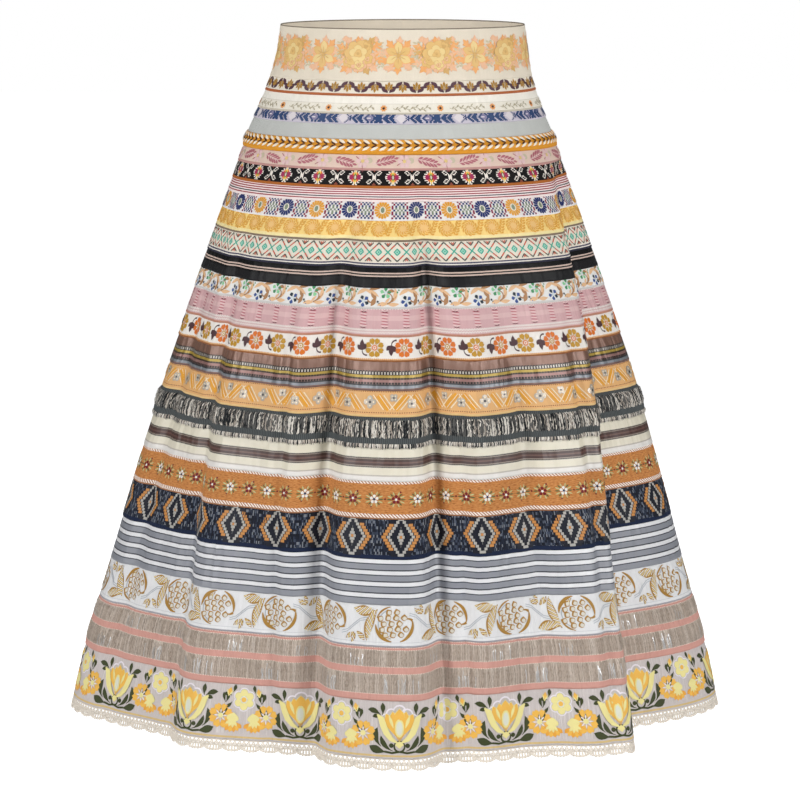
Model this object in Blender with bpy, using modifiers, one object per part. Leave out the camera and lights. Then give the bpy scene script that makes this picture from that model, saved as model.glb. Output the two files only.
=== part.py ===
"""Ribbon skirt: a knee-length A-line skirt made of rows of woven ribbon, in the worn, open form.

Each row is one ribbon sewn round into a closed tier. The tiers hang under a wide ribbon waistband
and end in a scalloped cotton lace. Metres, +Z up, origin at the centre of the waist's top edge,
front towards -Y. The wearer fills the skirt, so it is hollow and open at the waist and at the hem.
"""

import math
from collections import namedtuple

import bmesh
import bpy

MM = 0.001

WALL = 1.5 * MM  # thickness of a sewn ribbon tier
WAISTBAND_WALL = 2.0 * MM  # two layers of ribbon and a stiffener
LACE_WALL = 1.0 * MM
SEAM_GAP = 0.3 * MM  # space between pieces that are sewn to each other

# How many points lie between one fold line and the next, above and below the hips.
UPPER_STEPS = 2
LOWER_STEPS = 3
FIRST_LOWER_TIER = "ribbon_14_ladder_lace"

# Lace edging: one scallop with one hole, repeated round the hem.
SCALLOP_PITCH = 18.5 * MM
LACE_DROP = 13.0 * MM
LACE_SPLIT_GAP = 0.5 * MM

# The section at a drop below the waist: half width, half depth to the front and to the back, and
# where its centre lies from the waist's centre, to the right (aside) and to the back (behind).
Section = namedtuple("Section", "drop half_width front back aside behind")
SECTIONS = [
    Section(0.000, 0.1190, 0.088, 0.088, 0.0000, 0.000),
    Section(0.020, 0.1207, 0.090, 0.090, 0.0000, 0.001),
    Section(0.050, 0.1272, 0.094, 0.097, -0.0015, 0.003),
    Section(0.100, 0.1466, 0.106, 0.116, -0.0028, 0.008),
    Section(0.150, 0.1653, 0.122, 0.137, -0.0018, 0.012),
    Section(0.250, 0.1999, 0.160, 0.168, -0.0015, 0.018),
    Section(0.350, 0.2327, 0.180, 0.190, -0.0008, 0.022),
    Section(0.450, 0.2622, 0.197, 0.208, -0.0020, 0.025),
    Section(0.550, 0.2900, 0.210, 0.223, -0.0025, 0.028),
    Section(0.620, 0.3104, 0.219, 0.232, -0.0030, 0.030),
    Section(0.700, 0.3285, 0.227, 0.241, -0.0030, 0.032),
]

# Fold lines run down the cloth. Angles are counter-clockwise from +X, so 270 is the front. offset
# is how far the cloth stands out (+) or falls in (-) at the hem, start the drop where the fold
# begins, and growth the power of its growth from there to the hem.
Fold = namedtuple("Fold", "name waist_deg hem_deg offset start growth")
FOLDS = [
    Fold("back_right_hollow", 28, 16, -14 * MM, 0.20, 1.0),
    Fold("back_right_lobe", 44, 35, 15 * MM, 0.17, 1.0),
    Fold("back_right_fold", 58, 52, -17 * MM, 0.22, 1.0),
    Fold("back_right_inner_lobe", 74, 71, 12 * MM, 0.20, 1.0),
    Fold("centre_back_hollow", 90, 90, -13 * MM, 0.16, 1.0),
    Fold("back_left_inner_lobe", 106, 108, 15 * MM, 0.20, 1.0),
    Fold("back_left_fold", 122, 127, -18 * MM, 0.17, 1.0),
    Fold("back_left_lobe", 140, 146, 13 * MM, 0.22, 1.0),
    Fold("back_left_hollow", 158, 165, -12 * MM, 0.20, 1.0),
    Fold("left_side", 175, 184, 8 * MM, 0.15, 1.0),
    Fold("left_hollow", 190, 207, -24 * MM, 0.16, 0.8),
    Fold("left_lobe", 202, 220, -5 * MM, 0.16, 1.0),
    Fold("left_flat", 218, 232, -15 * MM, 0.22, 1.0),
    Fold("front_left_hollow", 233, 242, -24 * MM, 0.22, 1.0),
    Fold("front_lobe_shoulder", 247, 254, 9 * MM, 0.20, 1.0),
    Fold("front_lobe", 263, 272, 24 * MM, 0.17, 1.0),
    Fold("front_right_step", 277, 286, -2 * MM, 0.17, 1.0),
    Fold("front_right_hollow", 298, 299, -5 * MM, 0.20, 1.0),
    Fold("right_lobe", 336, 318.5, 24 * MM, 0.13, 1.0),
    Fold("deep_right_fold", 352, 333, -48 * MM, 0.13, 0.5),
    Fold("right_side", 368, 358, -2 * MM, 0.15, 1.0),
]
LEAN_POWER = 2.0  # folds lean quickly over the hips and hang nearly straight below
FOLD_TOP = 0.13
HEM_DROP = 0.675

# A tier's height, how far a cord, braid or tuft band stands out of it, and its ground colour.
Tier = namedtuple("Tier", "name height raised colour roughness metallic")
TIERS = [
    Tier("ribbon_01_vine", 13.6 * MM, 0, (0.86, 0.80, 0.70), 0.6, 0.0),
    Tier("ribbon_02_flower_dots", 16.8 * MM, 0, (0.87, 0.83, 0.74), 0.6, 0.0),
    Tier("ribbon_03_blue_lozenge", 9.4 * MM, 0, (0.35, 0.39, 0.55), 0.6, 0.0),
    Tier("ribbon_04_grey_twill", 14.0 * MM, 0, (0.45, 0.50, 0.53), 0.7, 0.0),
    Tier("ribbon_05_mustard_braid", 14.8 * MM, 1.8 * MM, (0.72, 0.42, 0.08), 0.7, 0.0),
    Tier("ribbon_06_pink_leaf", 13.9 * MM, 0, (0.66, 0.42, 0.39), 0.6, 0.0),
    Tier("ribbon_07_black_rosette", 16.6 * MM, 0, (0.02, 0.02, 0.02), 0.7, 0.0),
    Tier("ribbon_08_red_stripe", 12.6 * MM, 0, (0.62, 0.36, 0.34), 0.6, 0.0),
    Tier("ribbon_09_sunflower", 17.0 * MM, 0, (0.55, 0.50, 0.55), 0.6, 0.0),
    Tier("ribbon_10_yellow_leaf", 19.0 * MM, 0, (0.88, 0.62, 0.20), 0.5, 0.0),
    Tier("ribbon_11_lattice", 23.4 * MM, 0, (0.75, 0.68, 0.55), 0.6, 0.0),
    Tier("ribbon_12_black_satin", 18.4 * MM, 0, (0.03, 0.03, 0.03), 0.35, 0.0),
    Tier("ribbon_13_scroll", 19.0 * MM, 0, (0.78, 0.76, 0.72), 0.6, 0.0),
    Tier("ribbon_14_ladder_lace", 26.0 * MM, 0, (0.66, 0.45, 0.45), 0.6, 0.0),
    Tier("ribbon_15_orange_blossom", 22.5 * MM, 0, (0.80, 0.66, 0.48), 0.6, 0.0),
    Tier("ribbon_16_bronze_stripe", 27.0 * MM, 0, (0.30, 0.20, 0.13), 0.35, 0.3),
    Tier("ribbon_17_peach_zigzag", 24.2 * MM, 0, (0.78, 0.50, 0.25), 0.6, 0.0),
    Tier("ribbon_18_tweed_tuft", 28.8 * MM, 1.8 * MM, (0.22, 0.23, 0.23), 0.85, 0.0),
    Tier("ribbon_19_cream_satin", 30.6 * MM, 0, (0.76, 0.71, 0.60), 0.4, 0.0),
    Tier("ribbon_20_orange_sprig", 34.8 * MM, 0, (0.62, 0.34, 0.13), 0.6, 0.0),
    Tier("ribbon_21_navy_ikat", 37.3 * MM, 0, (0.05, 0.06, 0.12), 0.7, 0.0),
    Tier("ribbon_22_grey_stripe", 42.6 * MM, 0, (0.40, 0.42, 0.48), 0.4, 0.0),
    Tier("ribbon_23_gold_scroll", 39.2 * MM, 0, (0.74, 0.73, 0.72), 0.5, 0.0),
    Tier("ribbon_24_linen_loops", 50.2 * MM, 1.2 * MM, (0.48, 0.36, 0.30), 0.8, 0.0),
    Tier("ribbon_25_tulip", 54.2 * MM, 0, (0.55, 0.50, 0.47), 0.6, 0.0),
]
WAISTBAND = Tier("waistband", 48.6 * MM, 0, (0.82, 0.72, 0.58), 0.6, 0.0)
LACE_COLOUR = (0.80, 0.73, 0.64)
LACE_ROUGHNESS = 0.8


def eased(knots, values, at):
    """The value at one place of a smooth curve through (knots, values) that never overshoots."""
    k = max(i for i in range(len(knots) - 1) if i == 0 or knots[i] <= at)
    rises = [
        (values[i + 1] - values[i]) / (knots[i + 1] - knots[i]) for i in range(len(knots) - 1)
    ]

    def slope(i):
        before = rises[max(i - 1, 0)]
        after = rises[min(i, len(rises) - 1)]
        return 0.0 if before * after <= 0 else 2 * before * after / (before + after)

    span = knots[k + 1] - knots[k]
    t = (at - knots[k]) / span
    bend = (2 * t**3 - 3 * t**2 + 1, t**3 - 2 * t**2 + t, 3 * t**2 - 2 * t**3, t**3 - t**2)
    ends = (values[k], slope(k) * span, values[k + 1], slope(k + 1) * span)
    return sum(b * e for b, e in zip(bend, ends))


def section_at(drop):
    """The plain section, without folds, at this drop below the waist."""
    drops = [s.drop for s in SECTIONS]
    return Section(*(eased(drops, list(column), drop) for column in zip(*SECTIONS)))


def fold_lines(drop):
    """(angle in degrees, offset in metres) of each fold line at this drop."""
    lines = []
    for fold in FOLDS:
        down = min(max((drop - FOLD_TOP) / (HEM_DROP - FOLD_TOP), 0.0), 1.0)
        angle = fold.hem_deg + (fold.waist_deg - fold.hem_deg) * (1 - down) ** LEAN_POWER
        grown = min(max((drop - fold.start) / (HEM_DROP - fold.start), 0.0), 1.0)
        lines.append((angle, fold.offset * grown**fold.growth))
    return lines


def outer_point(angle_deg, drop, stand_out=0.0):
    """The point of the cloth's outer face at an angle and a drop, moved out by stand_out."""
    section = section_at(drop)
    lines = fold_lines(drop)
    # One turn more at each end, so that the curve runs on through the start of the table.
    wrapped = [(a - 360, o) for a, o in lines[-3:]] + lines + [(a + 360, o) for a, o in lines[:3]]
    angle_deg = lines[0][0] + (angle_deg - lines[0][0]) % 360
    offset = eased([a for a, _ in wrapped], [o for _, o in wrapped], angle_deg)
    angle = math.radians(angle_deg)
    depth = section.back if math.sin(angle) > 0 else section.front
    across = depth * math.cos(angle)
    along = section.half_width * math.sin(angle)
    radius = section.half_width * depth / math.hypot(across, along) + offset + stand_out
    x = section.aside + radius * math.cos(angle)
    return (x, section.behind + radius * math.sin(angle), -drop)


def ring_angles(drop, steps):
    """Angles of a ring's points: each fold line, and steps - 1 points between it and the next."""
    angles = [a for a, _ in fold_lines(drop)]
    following = angles[1:] + [angles[0] + 360]
    return [a + (b - a) * i / steps for a, b in zip(angles, following) for i in range(steps)]


def fabric(name, colour, roughness, metallic=0.0):
    """A plain cloth material."""
    material = bpy.data.materials.new(name)
    material.use_nodes = True
    shader = material.node_tree.nodes["Principled BSDF"]
    shader.inputs["Base Color"].default_value = (*colour, 1.0)
    shader.inputs["Roughness"].default_value = roughness
    shader.inputs["Metallic"].default_value = metallic
    return material


def cloth_piece(name, sheet, wall, material, collection):
    """One named piece: an open sheet of cloth, given its wall towards the inside."""
    mesh = bpy.data.meshes.new(name)
    sheet.to_mesh(mesh)
    sheet.free()
    mesh.materials.append(material)
    mesh.shade_smooth()
    piece = bpy.data.objects.new(name, mesh)
    collection.objects.link(piece)
    solidify = piece.modifiers.new("Wall", "SOLIDIFY")
    solidify.thickness = wall
    solidify.offset = -1.0
    solidify.use_even_offset = True
    return piece


def tier_sheet(top, height, raised, steps):
    """The outer face of one tier, from its top seam to its bottom seam."""
    low, high = top + SEAM_GAP / 2, top + height - SEAM_GAP / 2
    rows = [(low, 0.0), (high, 0.0)]
    if raised:
        shoulder = height * 0.25
        rows[1:1] = [(low + shoulder, raised), (high - shoulder, raised)]
    sheet = bmesh.new()
    rings = [
        [sheet.verts.new(outer_point(a, drop, out)) for a in ring_angles(drop, steps)]
        for drop, out in rows
    ]
    for upper, lower in zip(rings, rings[1:]):
        for i in range(len(upper)):
            j = (i + 1) % len(upper)
            sheet.faces.new((upper[j], upper[i], lower[i], lower[j]))
    return sheet


def hem_path(drop, steps):
    """Points round the hem, with the distance along it to each, from the back of one side on."""
    points = [outer_point(a, drop) for a in ring_angles(drop, steps)]
    points.append(points[0])
    run = [0.0]
    for a, b in zip(points, points[1:]):
        run.append(run[-1] + math.dist(a, b))
    return points, run


def along_path(points, run, distance):
    """The plan position at a distance along a closed path."""
    distance %= run[-1]
    k = max(i for i in range(len(run) - 1) if run[i] <= distance)
    t = (distance - run[k]) / (run[k + 1] - run[k])
    return [a + (b - a) * t for a, b in zip(points[k][:2], points[k + 1][:2])]


# One scallop, as shares of the pitch and of the lace's drop. The hole is the eyelet in its middle.
LACE_OUTLINE = [(0, 0), (1, 0), (1, 0.62), (0.78, 0.92), (0.5, 1), (0.22, 0.92), (0, 0.62)]
EYELET = [(0.22, 0.26), (0.78, 0.26), (0.72, 0.66), (0.28, 0.66)]
# Faces between the outline (numbers from 0) and the eyelet (from 7), outer face first.
LACE_FACES = [
    (0, 7, 8, 1),
    (1, 8, 9, 2),
    (2, 9, 3),
    (3, 9, 10, 5, 4),
    (5, 10, 6),
    (6, 10, 7, 0),
]


def lace_sheet(first, last, path, pitch):
    """Scallops number first to last - 1 of the lace, hanging below the last tier."""
    points, run = path
    sheet = bmesh.new()
    made = {}

    def vertex(share, down, number):
        start = first * pitch + LACE_SPLIT_GAP / 2
        end = last * pitch - LACE_SPLIT_GAP / 2
        distance = min(max((number + share) * pitch, start), end)
        drop = HEM_TOTAL + SEAM_GAP / 2 + down * (LACE_DROP - SEAM_GAP)
        key = (round(distance, 6), round(drop, 6))
        if key not in made:
            x, y = along_path(points, run, distance)
            flare = 1 + LACE_FLARE * down
            made[key] = sheet.verts.new((x * flare, y * flare, -drop))
        return made[key]

    corners = LACE_OUTLINE + EYELET
    for number in range(first, last):
        ring = [vertex(share, down, number) for share, down in corners]
        for face in LACE_FACES:
            sheet.faces.new([ring[i] for i in face])
    return sheet


LACE_FLARE = 0.008  # the lace hangs in line with the tier above, so it widens this much
HEM_TOTAL = WAISTBAND.height + sum(tier.height for tier in TIERS)


def build_tiers(collection):
    """The waistband and every ribbon tier, from the waist down."""
    top = 0.0
    steps = UPPER_STEPS
    for tier in [WAISTBAND, *TIERS]:
        if tier.name == FIRST_LOWER_TIER:
            steps = LOWER_STEPS
        sheet = tier_sheet(top, tier.height, tier.raised, steps)
        material = fabric(tier.name, tier.colour, tier.roughness, tier.metallic)
        wall = WAISTBAND_WALL if tier is WAISTBAND else WALL
        cloth_piece(tier.name, sheet, wall, material, collection)
        top += tier.height


def build_lace(collection):
    """The lace edging in two lengths, each half way round the hem."""
    path = hem_path(HEM_TOTAL, LOWER_STEPS)
    count = 2 * round(path[1][-1] / SCALLOP_PITCH / 2)
    pitch = path[1][-1] / count
    material = fabric("lace", LACE_COLOUR, LACE_ROUGHNESS)
    for name, first in (("lace_back", 0), ("lace_front", count // 2)):
        sheet = lace_sheet(first, first + count // 2, path, pitch)
        cloth_piece(name, sheet, LACE_WALL, material, collection)


def main():
    """Clears the scene and builds the skirt."""
    for old in list(bpy.data.objects):
        bpy.data.objects.remove(old)
    skirt = bpy.data.collections.new("ribbon_skirt")
    bpy.context.scene.collection.children.link(skirt)
    build_tiers(skirt)
    build_lace(skirt)


main()
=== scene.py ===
"""Dresses the ribbon skirt: woven ribbons with their figures, a plaited braid, tufts and lace.

Each ribbon is drawn flat, in millimetres: u along it, v down from its upper edge, and lift out of
the cloth. The flat drawing is then laid on the skirt's form, which follows the frame's tiers, so
the woven figures take every fold and gather of the cloth below them.
"""

import logging
import math
import random
from collections.abc import Sequence
from dataclasses import dataclass
from enum import Enum
from functools import partial
from typing import NamedTuple

import bmesh
import bpy
import numpy as np
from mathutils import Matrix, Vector


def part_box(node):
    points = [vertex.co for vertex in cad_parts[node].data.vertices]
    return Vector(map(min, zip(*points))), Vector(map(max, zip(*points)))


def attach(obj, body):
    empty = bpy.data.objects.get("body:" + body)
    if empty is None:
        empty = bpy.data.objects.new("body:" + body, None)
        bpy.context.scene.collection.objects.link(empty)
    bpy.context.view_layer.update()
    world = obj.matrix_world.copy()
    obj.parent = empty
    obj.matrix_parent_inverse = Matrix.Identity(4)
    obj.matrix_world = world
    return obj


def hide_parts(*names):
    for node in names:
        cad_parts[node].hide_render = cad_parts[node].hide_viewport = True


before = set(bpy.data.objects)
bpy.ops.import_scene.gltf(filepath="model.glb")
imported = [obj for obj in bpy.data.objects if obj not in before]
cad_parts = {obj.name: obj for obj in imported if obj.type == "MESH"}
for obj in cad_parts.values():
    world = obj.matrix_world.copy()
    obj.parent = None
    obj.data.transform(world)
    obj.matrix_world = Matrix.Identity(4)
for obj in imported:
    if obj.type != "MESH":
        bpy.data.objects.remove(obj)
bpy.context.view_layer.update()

log = logging.getLogger("ribbon_skirt")

MM = 0.001
FULL_TURN = 360.0
SEAM_DEG = 90.0  # every ribbon is joined at the centre back
FRONT_DEG = 270.0

LIFT = 0.25  # millimetres that a woven figure stands over its ground
LONGEST_STEP = 3.0  # millimetres of a figure in one face, so that it follows the cloth's curves
EDGE_LAP = 0.8  # a ribbon's lower edge laps this far over the next one

Point = tuple[float, float]
Socket = bpy.types.NodeSocket


def clamped(share: float) -> float:
    """This share, kept from 0 to 1."""
    return min(max(share, 0.0), 1.0)


def mirrored(angle: float, side: int) -> float:
    """A heading on the right side, or its mirror image where side is -1."""
    return angle if side > 0 else 180 - angle


def doubled(half: Sequence) -> Sequence:
    """A text or tuple followed by its mirror image, with the last item in the middle."""
    return half + half[-2::-1]


def add_object(name: str, data: bpy.types.ID) -> bpy.types.Object:
    """Puts a mesh, a lamp or a camera in the scene.

    Args:
        name: Its name.
        data: The mesh, lamp or camera.

    Returns:
        The object.
    """
    item = bpy.data.objects.new(name, data)
    bpy.context.scene.collection.objects.link(item)
    return item


# --- Colours and finishes ---


def linear(colour: str) -> tuple[float, float, float, float]:
    """Turns an sRGB hex colour to linear light.

    Args:
        colour: Six hex digits after a hash.

    Returns:
        Red, green, blue and alpha.
    """
    shares = [int(colour[i : i + 2], 16) / 255 for i in (1, 3, 5)]
    turned = [s / 12.92 if s <= 0.04045 else ((s + 0.055) / 1.055) ** 2.4 for s in shares]
    return (*turned, 1.0)


def darker(colour: str, share: float) -> tuple[float, float, float, float]:
    """The linear colour at this share of its brightness."""
    return (*[c * share for c in linear(colour)[:3]], 1.0)


def add_node(
    tree: bpy.types.NodeTree,
    kind: str,
    inputs: Sequence | dict = (),
    out: int | str = 0,
    **settings: object,
) -> bpy.types.NodeSocket:
    """Adds a shader node with its settings, plain values and links.

    Args:
        tree: The material's node tree.
        kind: The node's type, such as "ShaderNodeMath".
        inputs: Values or output sockets, in the inputs' order or by their names or numbers.
        out: Name or number of the output to hand back.
        **settings: The node's own properties.

    Returns:
        The chosen output socket.
    """
    node = tree.nodes.new(kind)
    for name, value in settings.items():
        setattr(node, name, value)
    for key, value in inputs.items() if isinstance(inputs, dict) else enumerate(inputs):
        if isinstance(value, bpy.types.NodeSocket):
            tree.links.new(value, node.inputs[key])
        else:
            node.inputs[key].default_value = value
    return node.outputs[out]


SHINE = ("Roughness", "Metallic", "Sheen Weight", "Specular IOR Level")


class Wires:
    """A new material's nodes, with the flat drawing's coordinates in millimetres."""

    def __init__(self, name: str) -> None:
        """Makes the material under this name.

        Args:
            name: The material's name.
        """
        self.material = bpy.data.materials.new(name)
        self.material.use_nodes = True
        self.tree = self.material.node_tree
        self.shader = self.tree.nodes["Principled BSDF"]
        self.node = partial(add_node, self.tree)
        scaled = [self.node("ShaderNodeUVMap", uv_map="ribbon"), (1 / MM, 1 / MM, 0)]
        self.flat = self.node("ShaderNodeVectorMath", scaled, operation="MULTIPLY")
        self.along = self.node("ShaderNodeSeparateXYZ", [self.flat])
        self.down = self.along.node.outputs[1]

    def sum(self, operation: str, *inputs: Socket | float) -> Socket:
        """Works a sum out, such as MULTIPLY_ADD of three inputs."""
        return self.node("ShaderNodeMath", inputs, operation=operation)

    def noise(self, place: Socket, scale: float, detail: float) -> Socket:
        """Soft noise at this place."""
        return self.node("ShaderNodeTexNoise", {"Vector": place, "Scale": scale, "Detail": detail})

    def mix(self, share: Socket, low: Socket | tuple, high: Socket | tuple) -> Socket:
        """Mixes two colours."""
        return self.node("ShaderNodeMix", {0: share, 6: low, 7: high}, 2, data_type="RGBA")

    def bump(self, height: Socket, strength: float, depth: float, **below: Socket) -> Socket:
        """Turns a height to a normal; depth is in millimetres, and below may hold a normal."""
        relief = {"Height": height, "Strength": strength, "Distance": depth * MM, **below}
        return self.node("ShaderNodeBump", relief)

    def finish(self, colour: Socket, normal: Socket, shine: Sequence[float]) -> bpy.types.Material:
        """Feeds the shader and hands back the material.

        Args:
            colour: Its colour.
            normal: Its normal.
            shine: Its roughness, metallic share, sheen and level of mirrored light.

        Returns:
            The material.
        """
        self.tree.links.new(colour, self.shader.inputs["Base Color"])
        self.tree.links.new(normal, self.shader.inputs["Normal"])
        for name, value in zip(SHINE, shine):
            self.shader.inputs[name].default_value = value
        return self.material


class Weave(Enum):
    """How a ribbon is woven: the cloth's real name."""

    TAFFETA = "polyester_taffeta"  # dry and crisp, with an even fine grain
    TWILL = "cotton_twill"  # matt, with slanted ribs
    SATIN = "polyester_satin"  # smooth, with bright bands where it turns to the light
    GROSGRAIN = "cotton_grosgrain"  # matt, with upright ribs that shade each other


# Millimetres from thread to thread along and down the ribbon, and how far the ribs lean for each
# millimetre down. Woven finer in truth, and drawn this coarse so that the weave shows.
WEAVE_PITCH = {
    Weave.TAFFETA: (0.9, 0.9, 0.0),
    Weave.TWILL: (1.1, 0.0, 1.0),
    Weave.SATIN: (0.6, 2.4, 0.0),
    Weave.GROSGRAIN: (1.3, 0.0, 0.0),
}


class Lustre(NamedTuple):
    """A thread's real name and how it shines."""

    name: str
    roughness: float
    metallic: float
    sheen: float


COTTON = Lustre("cotton_yarn", 0.85, 0.0, 0.1)  # matt and a little furry
SILK = Lustre("silk_floss", 0.5, 0.0, 0.05)  # clear colour with a soft gloss along the floats
METAL = Lustre("metal_thread", 0.36, 0.8, 0.0)  # glints of gold or silver
SEQUIN = Lustre("pearl_sequin", 0.34, 0.3, 0.0)  # flat bright discs that flash white


@dataclass(frozen=True)
class Yarn:
    """Thread of a woven figure, laid as close floats, which catch the light along the ribbon.

    Attributes:
        colour: sRGB hex.
        lustre: How the thread shines.
        pitch: Millimetres from one float to the next, drawn a little coarse so that it shows.
    """

    colour: str
    lustre: Lustre = SILK
    pitch: float = 0.9

    LEAN = 0.35  # how far a float leans along the ribbon for each millimetre down it
    FUZZ_SCALE = 0.9  # hairs in a millimetre
    RELIEF = 0.05  # millimetres
    GROOVES = 0.12  # half the greatest share of shadow in the grooves between floats
    SHADOW = 0.62  # brightness of that shadow
    GLOSS = 0.3

    def material(self) -> bpy.types.Material:
        """The yarn's material, made once.

        Returns:
            The material.
        """
        name = f"{self.lustre.name}_{self.colour[1:]}"
        if name in bpy.data.materials:
            return bpy.data.materials[name]
        wires = Wires(name)
        slant = wires.sum("MULTIPLY_ADD", wires.down, self.LEAN, wires.along)
        ridge = wires.sum("SINE", wires.sum("MULTIPLY", slant, 2 * math.pi / self.pitch))
        fuzz = wires.noise(wires.flat, self.FUZZ_SCALE, 1.0)
        normal = wires.bump(wires.sum("MULTIPLY_ADD", fuzz, 1.5, ridge), 0.5, self.RELIEF)
        share = wires.sum("MULTIPLY_ADD", ridge, self.GROOVES, self.GROOVES)
        colour = wires.mix(share, linear(self.colour), darker(self.colour, self.SHADOW))
        return wires.finish(colour, normal, (*self.lustre[1:], self.GLOSS))


class Fleck(NamedTuple):
    """A band of mixed threads, from start to end in millimetres down the ribbon.

    width and length are the size of one fleck, soft is True for drawn-out threads and False for
    woven blocks, and colours are taken at random.
    """

    start: float
    end: float
    width: float
    length: float
    soft: bool
    colours: tuple[str, ...]


class Dash(NamedTuple):
    """A row of dashes, from start to end in millimetres down the ribbon.

    pitch is the distance from one to the next, share how much of it is filled, and slant how far
    a dash leans for each millimetre down.
    """

    start: float
    end: float
    pitch: float
    colour: str
    share: float = 0.5
    slant: float = 0.0


@dataclass(frozen=True)
class Ground:
    """The ribbon's own cloth: its stripes, weave and shine.

    Attributes:
        stripes: (where it starts in millimetres down the ribbon, sRGB hex) of each stripe.
        weave: How the cloth is woven.
        roughness: Low for satin, high for cotton.
        metallic: More than 0 where metal thread is woven in.
        sheen: Weight of the soft edge light of a fabric's nap.
        flecks: Bands of mixed threads over the stripes.
        dashes: Rows of dashes over those.
        relief: Height of the weave's relief in millimetres.
        pucker: Height of the fine puckers in millimetres.
        buckle: How many puckers lie in a millimetre, along and down the ribbon.
        gloss: Level of the mirrored light, 0.5 for a smooth plastic.
    """

    stripes: tuple[tuple[float, str], ...]
    weave: Weave = Weave.TAFFETA
    roughness: float = 0.65
    metallic: float = 0.0
    sheen: float = 0.03
    flecks: tuple[Fleck, ...] = ()
    dashes: tuple[Dash, ...] = ()
    relief: float = 0.06
    pucker: float = 1.3
    buckle: tuple[float, float] = (0.22, 0.035)
    gloss: float = 0.3

    # Uneven colour: spots in a millimetre, and how far the brightness varies.
    THREAD_SHADE = (1.1, 0.14)
    PATCH_SHADE = (0.06, 0.12)
    DARKEST = 0.87
    SLUB_SCALE = 2.2  # slubs in a millimetre

    def material(self, name: str, height: float) -> bpy.types.Material:
        """Makes the ground's material.

        Args:
            name: The tier's name, which is put before the cloth's.
            height: The ribbon's height in millimetres.

        Returns:
            The material, which reads the flat drawing's own coordinates.
        """
        wires = Wires(f"{name}_{self.weave.value}")
        whole = height + EDGE_LAP
        share = wires.sum("DIVIDE", wires.down, whole)
        colour = wires.node("ShaderNodeValToRGB", [share])
        fill_ramp(colour.node, [(start / whole, hue) for start, hue in self.stripes])
        for fleck in self.flecks:
            colour = self._flecked(wires, fleck, colour)
        for dash in self.dashes:
            colour = self._dashed(wires, dash, colour)
        shine = (self.roughness, self.metallic, self.sheen, self.gloss)
        return wires.finish(self._worn(wires, colour), self._relief(wires), shine)

    @staticmethod
    def _within(wires: Wires, band: Fleck | Dash, share: Socket | float = 1.0) -> Socket:
        """The share inside a band down the ribbon, and 0 elsewhere.

        Args:
            wires: The material's nodes.
            band: The band.
            share: A share from 0 to 1.

        Returns:
            The share, held inside the band.
        """
        above = wires.sum("GREATER_THAN", wires.down, band.start)
        below = wires.sum("LESS_THAN", wires.down, band.end)
        return wires.sum("MULTIPLY", wires.sum("MULTIPLY", above, below), share)

    def _flecked(self, wires: Wires, fleck: Fleck, colour: Socket) -> Socket:
        """Lays one band of mixed threads over a colour.

        Args:
            wires: The material's nodes.
            fleck: The band of threads.
            colour: The colour below it.

        Returns:
            The colour with its flecks.
        """
        across = wires.sum("DIVIDE", wires.along, fleck.width)
        length = wires.sum("DIVIDE", wires.down, fleck.length)
        place = wires.node("ShaderNodeCombineXYZ", [across, length])
        if fleck.soft:
            value = wires.sum("MULTIPLY_ADD", wires.noise(place, 1.0, 2.0), 2.2, -0.6)
        else:
            block = wires.node("ShaderNodeVectorMath", [place], operation="FLOOR")
            value = wires.node("ShaderNodeTexWhiteNoise", {"Vector": block})
        ramp = wires.node("ShaderNodeValToRGB", [value])
        count = len(fleck.colours)
        fill_ramp(ramp.node, [(i / count, hue) for i, hue in enumerate(fleck.colours)])
        ramp.node.color_ramp.interpolation = "LINEAR" if fleck.soft else "CONSTANT"
        return wires.mix(self._within(wires, fleck), colour, ramp)

    def _dashed(self, wires: Wires, dash: Dash, colour: Socket) -> Socket:
        """Lays one row of dashes over a colour.

        Args:
            wires: The material's nodes.
            dash: The row of dashes.
            colour: The colour below it.

        Returns:
            The colour with its dashes.
        """
        leaning = wires.sum("MULTIPLY_ADD", wires.down, dash.slant, wires.along)
        phase = wires.sum("FRACT", wires.sum("DIVIDE", leaning, dash.pitch))
        filled = wires.sum("LESS_THAN", phase, dash.share)
        return wires.mix(self._within(wires, dash, filled), colour, linear(dash.colour))

    def _worn(self, wires: Wires, colour: Socket) -> Socket:
        """Varies the colour a little from thread to thread and from place to place.

        Args:
            wires: The material's nodes.
            colour: The even colour.

        Returns:
            The uneven colour.
        """
        level = self.DARKEST
        for (scale, reach), detail in ((self.THREAD_SHADE, 2.0), (self.PATCH_SHADE, 1.0)):
            level = wires.sum("MULTIPLY_ADD", wires.noise(wires.flat, scale, detail), reach, level)
        scaled = {0: colour, "Scale": level}
        return wires.node("ShaderNodeVectorMath", scaled, operation="SCALE")

    def _relief(self, wires: Wires) -> Socket:
        """The relief of the weave and of the fine puckers that gathering leaves.

        Args:
            wires: The material's nodes.

        Returns:
            The cloth's normal.
        """
        warp, weft, slant = WEAVE_PITCH[self.weave]
        leaning = wires.sum("MULTIPLY_ADD", wires.down, slant, wires.along)
        rib = wires.sum("SINE", wires.sum("MULTIPLY", leaning, 2 * math.pi / warp))
        if weft:
            cross = wires.sum("SINE", wires.sum("MULTIPLY", wires.down, 2 * math.pi / weft))
            rib = wires.sum("MULTIPLY", rib, cross)
        slub = wires.noise(wires.flat, self.SLUB_SCALE, 1.0)
        threads = wires.sum("MULTIPLY_ADD", slub, 1.2, rib)
        drawn = [wires.flat, (*self.buckle, 0)]
        drawn = wires.node("ShaderNodeVectorMath", drawn, operation="MULTIPLY")
        puckers = wires.bump(wires.noise(drawn, 1.0, 1.5), 0.85, self.pucker)
        return wires.bump(threads, 0.6, self.relief, Normal=puckers)


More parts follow.
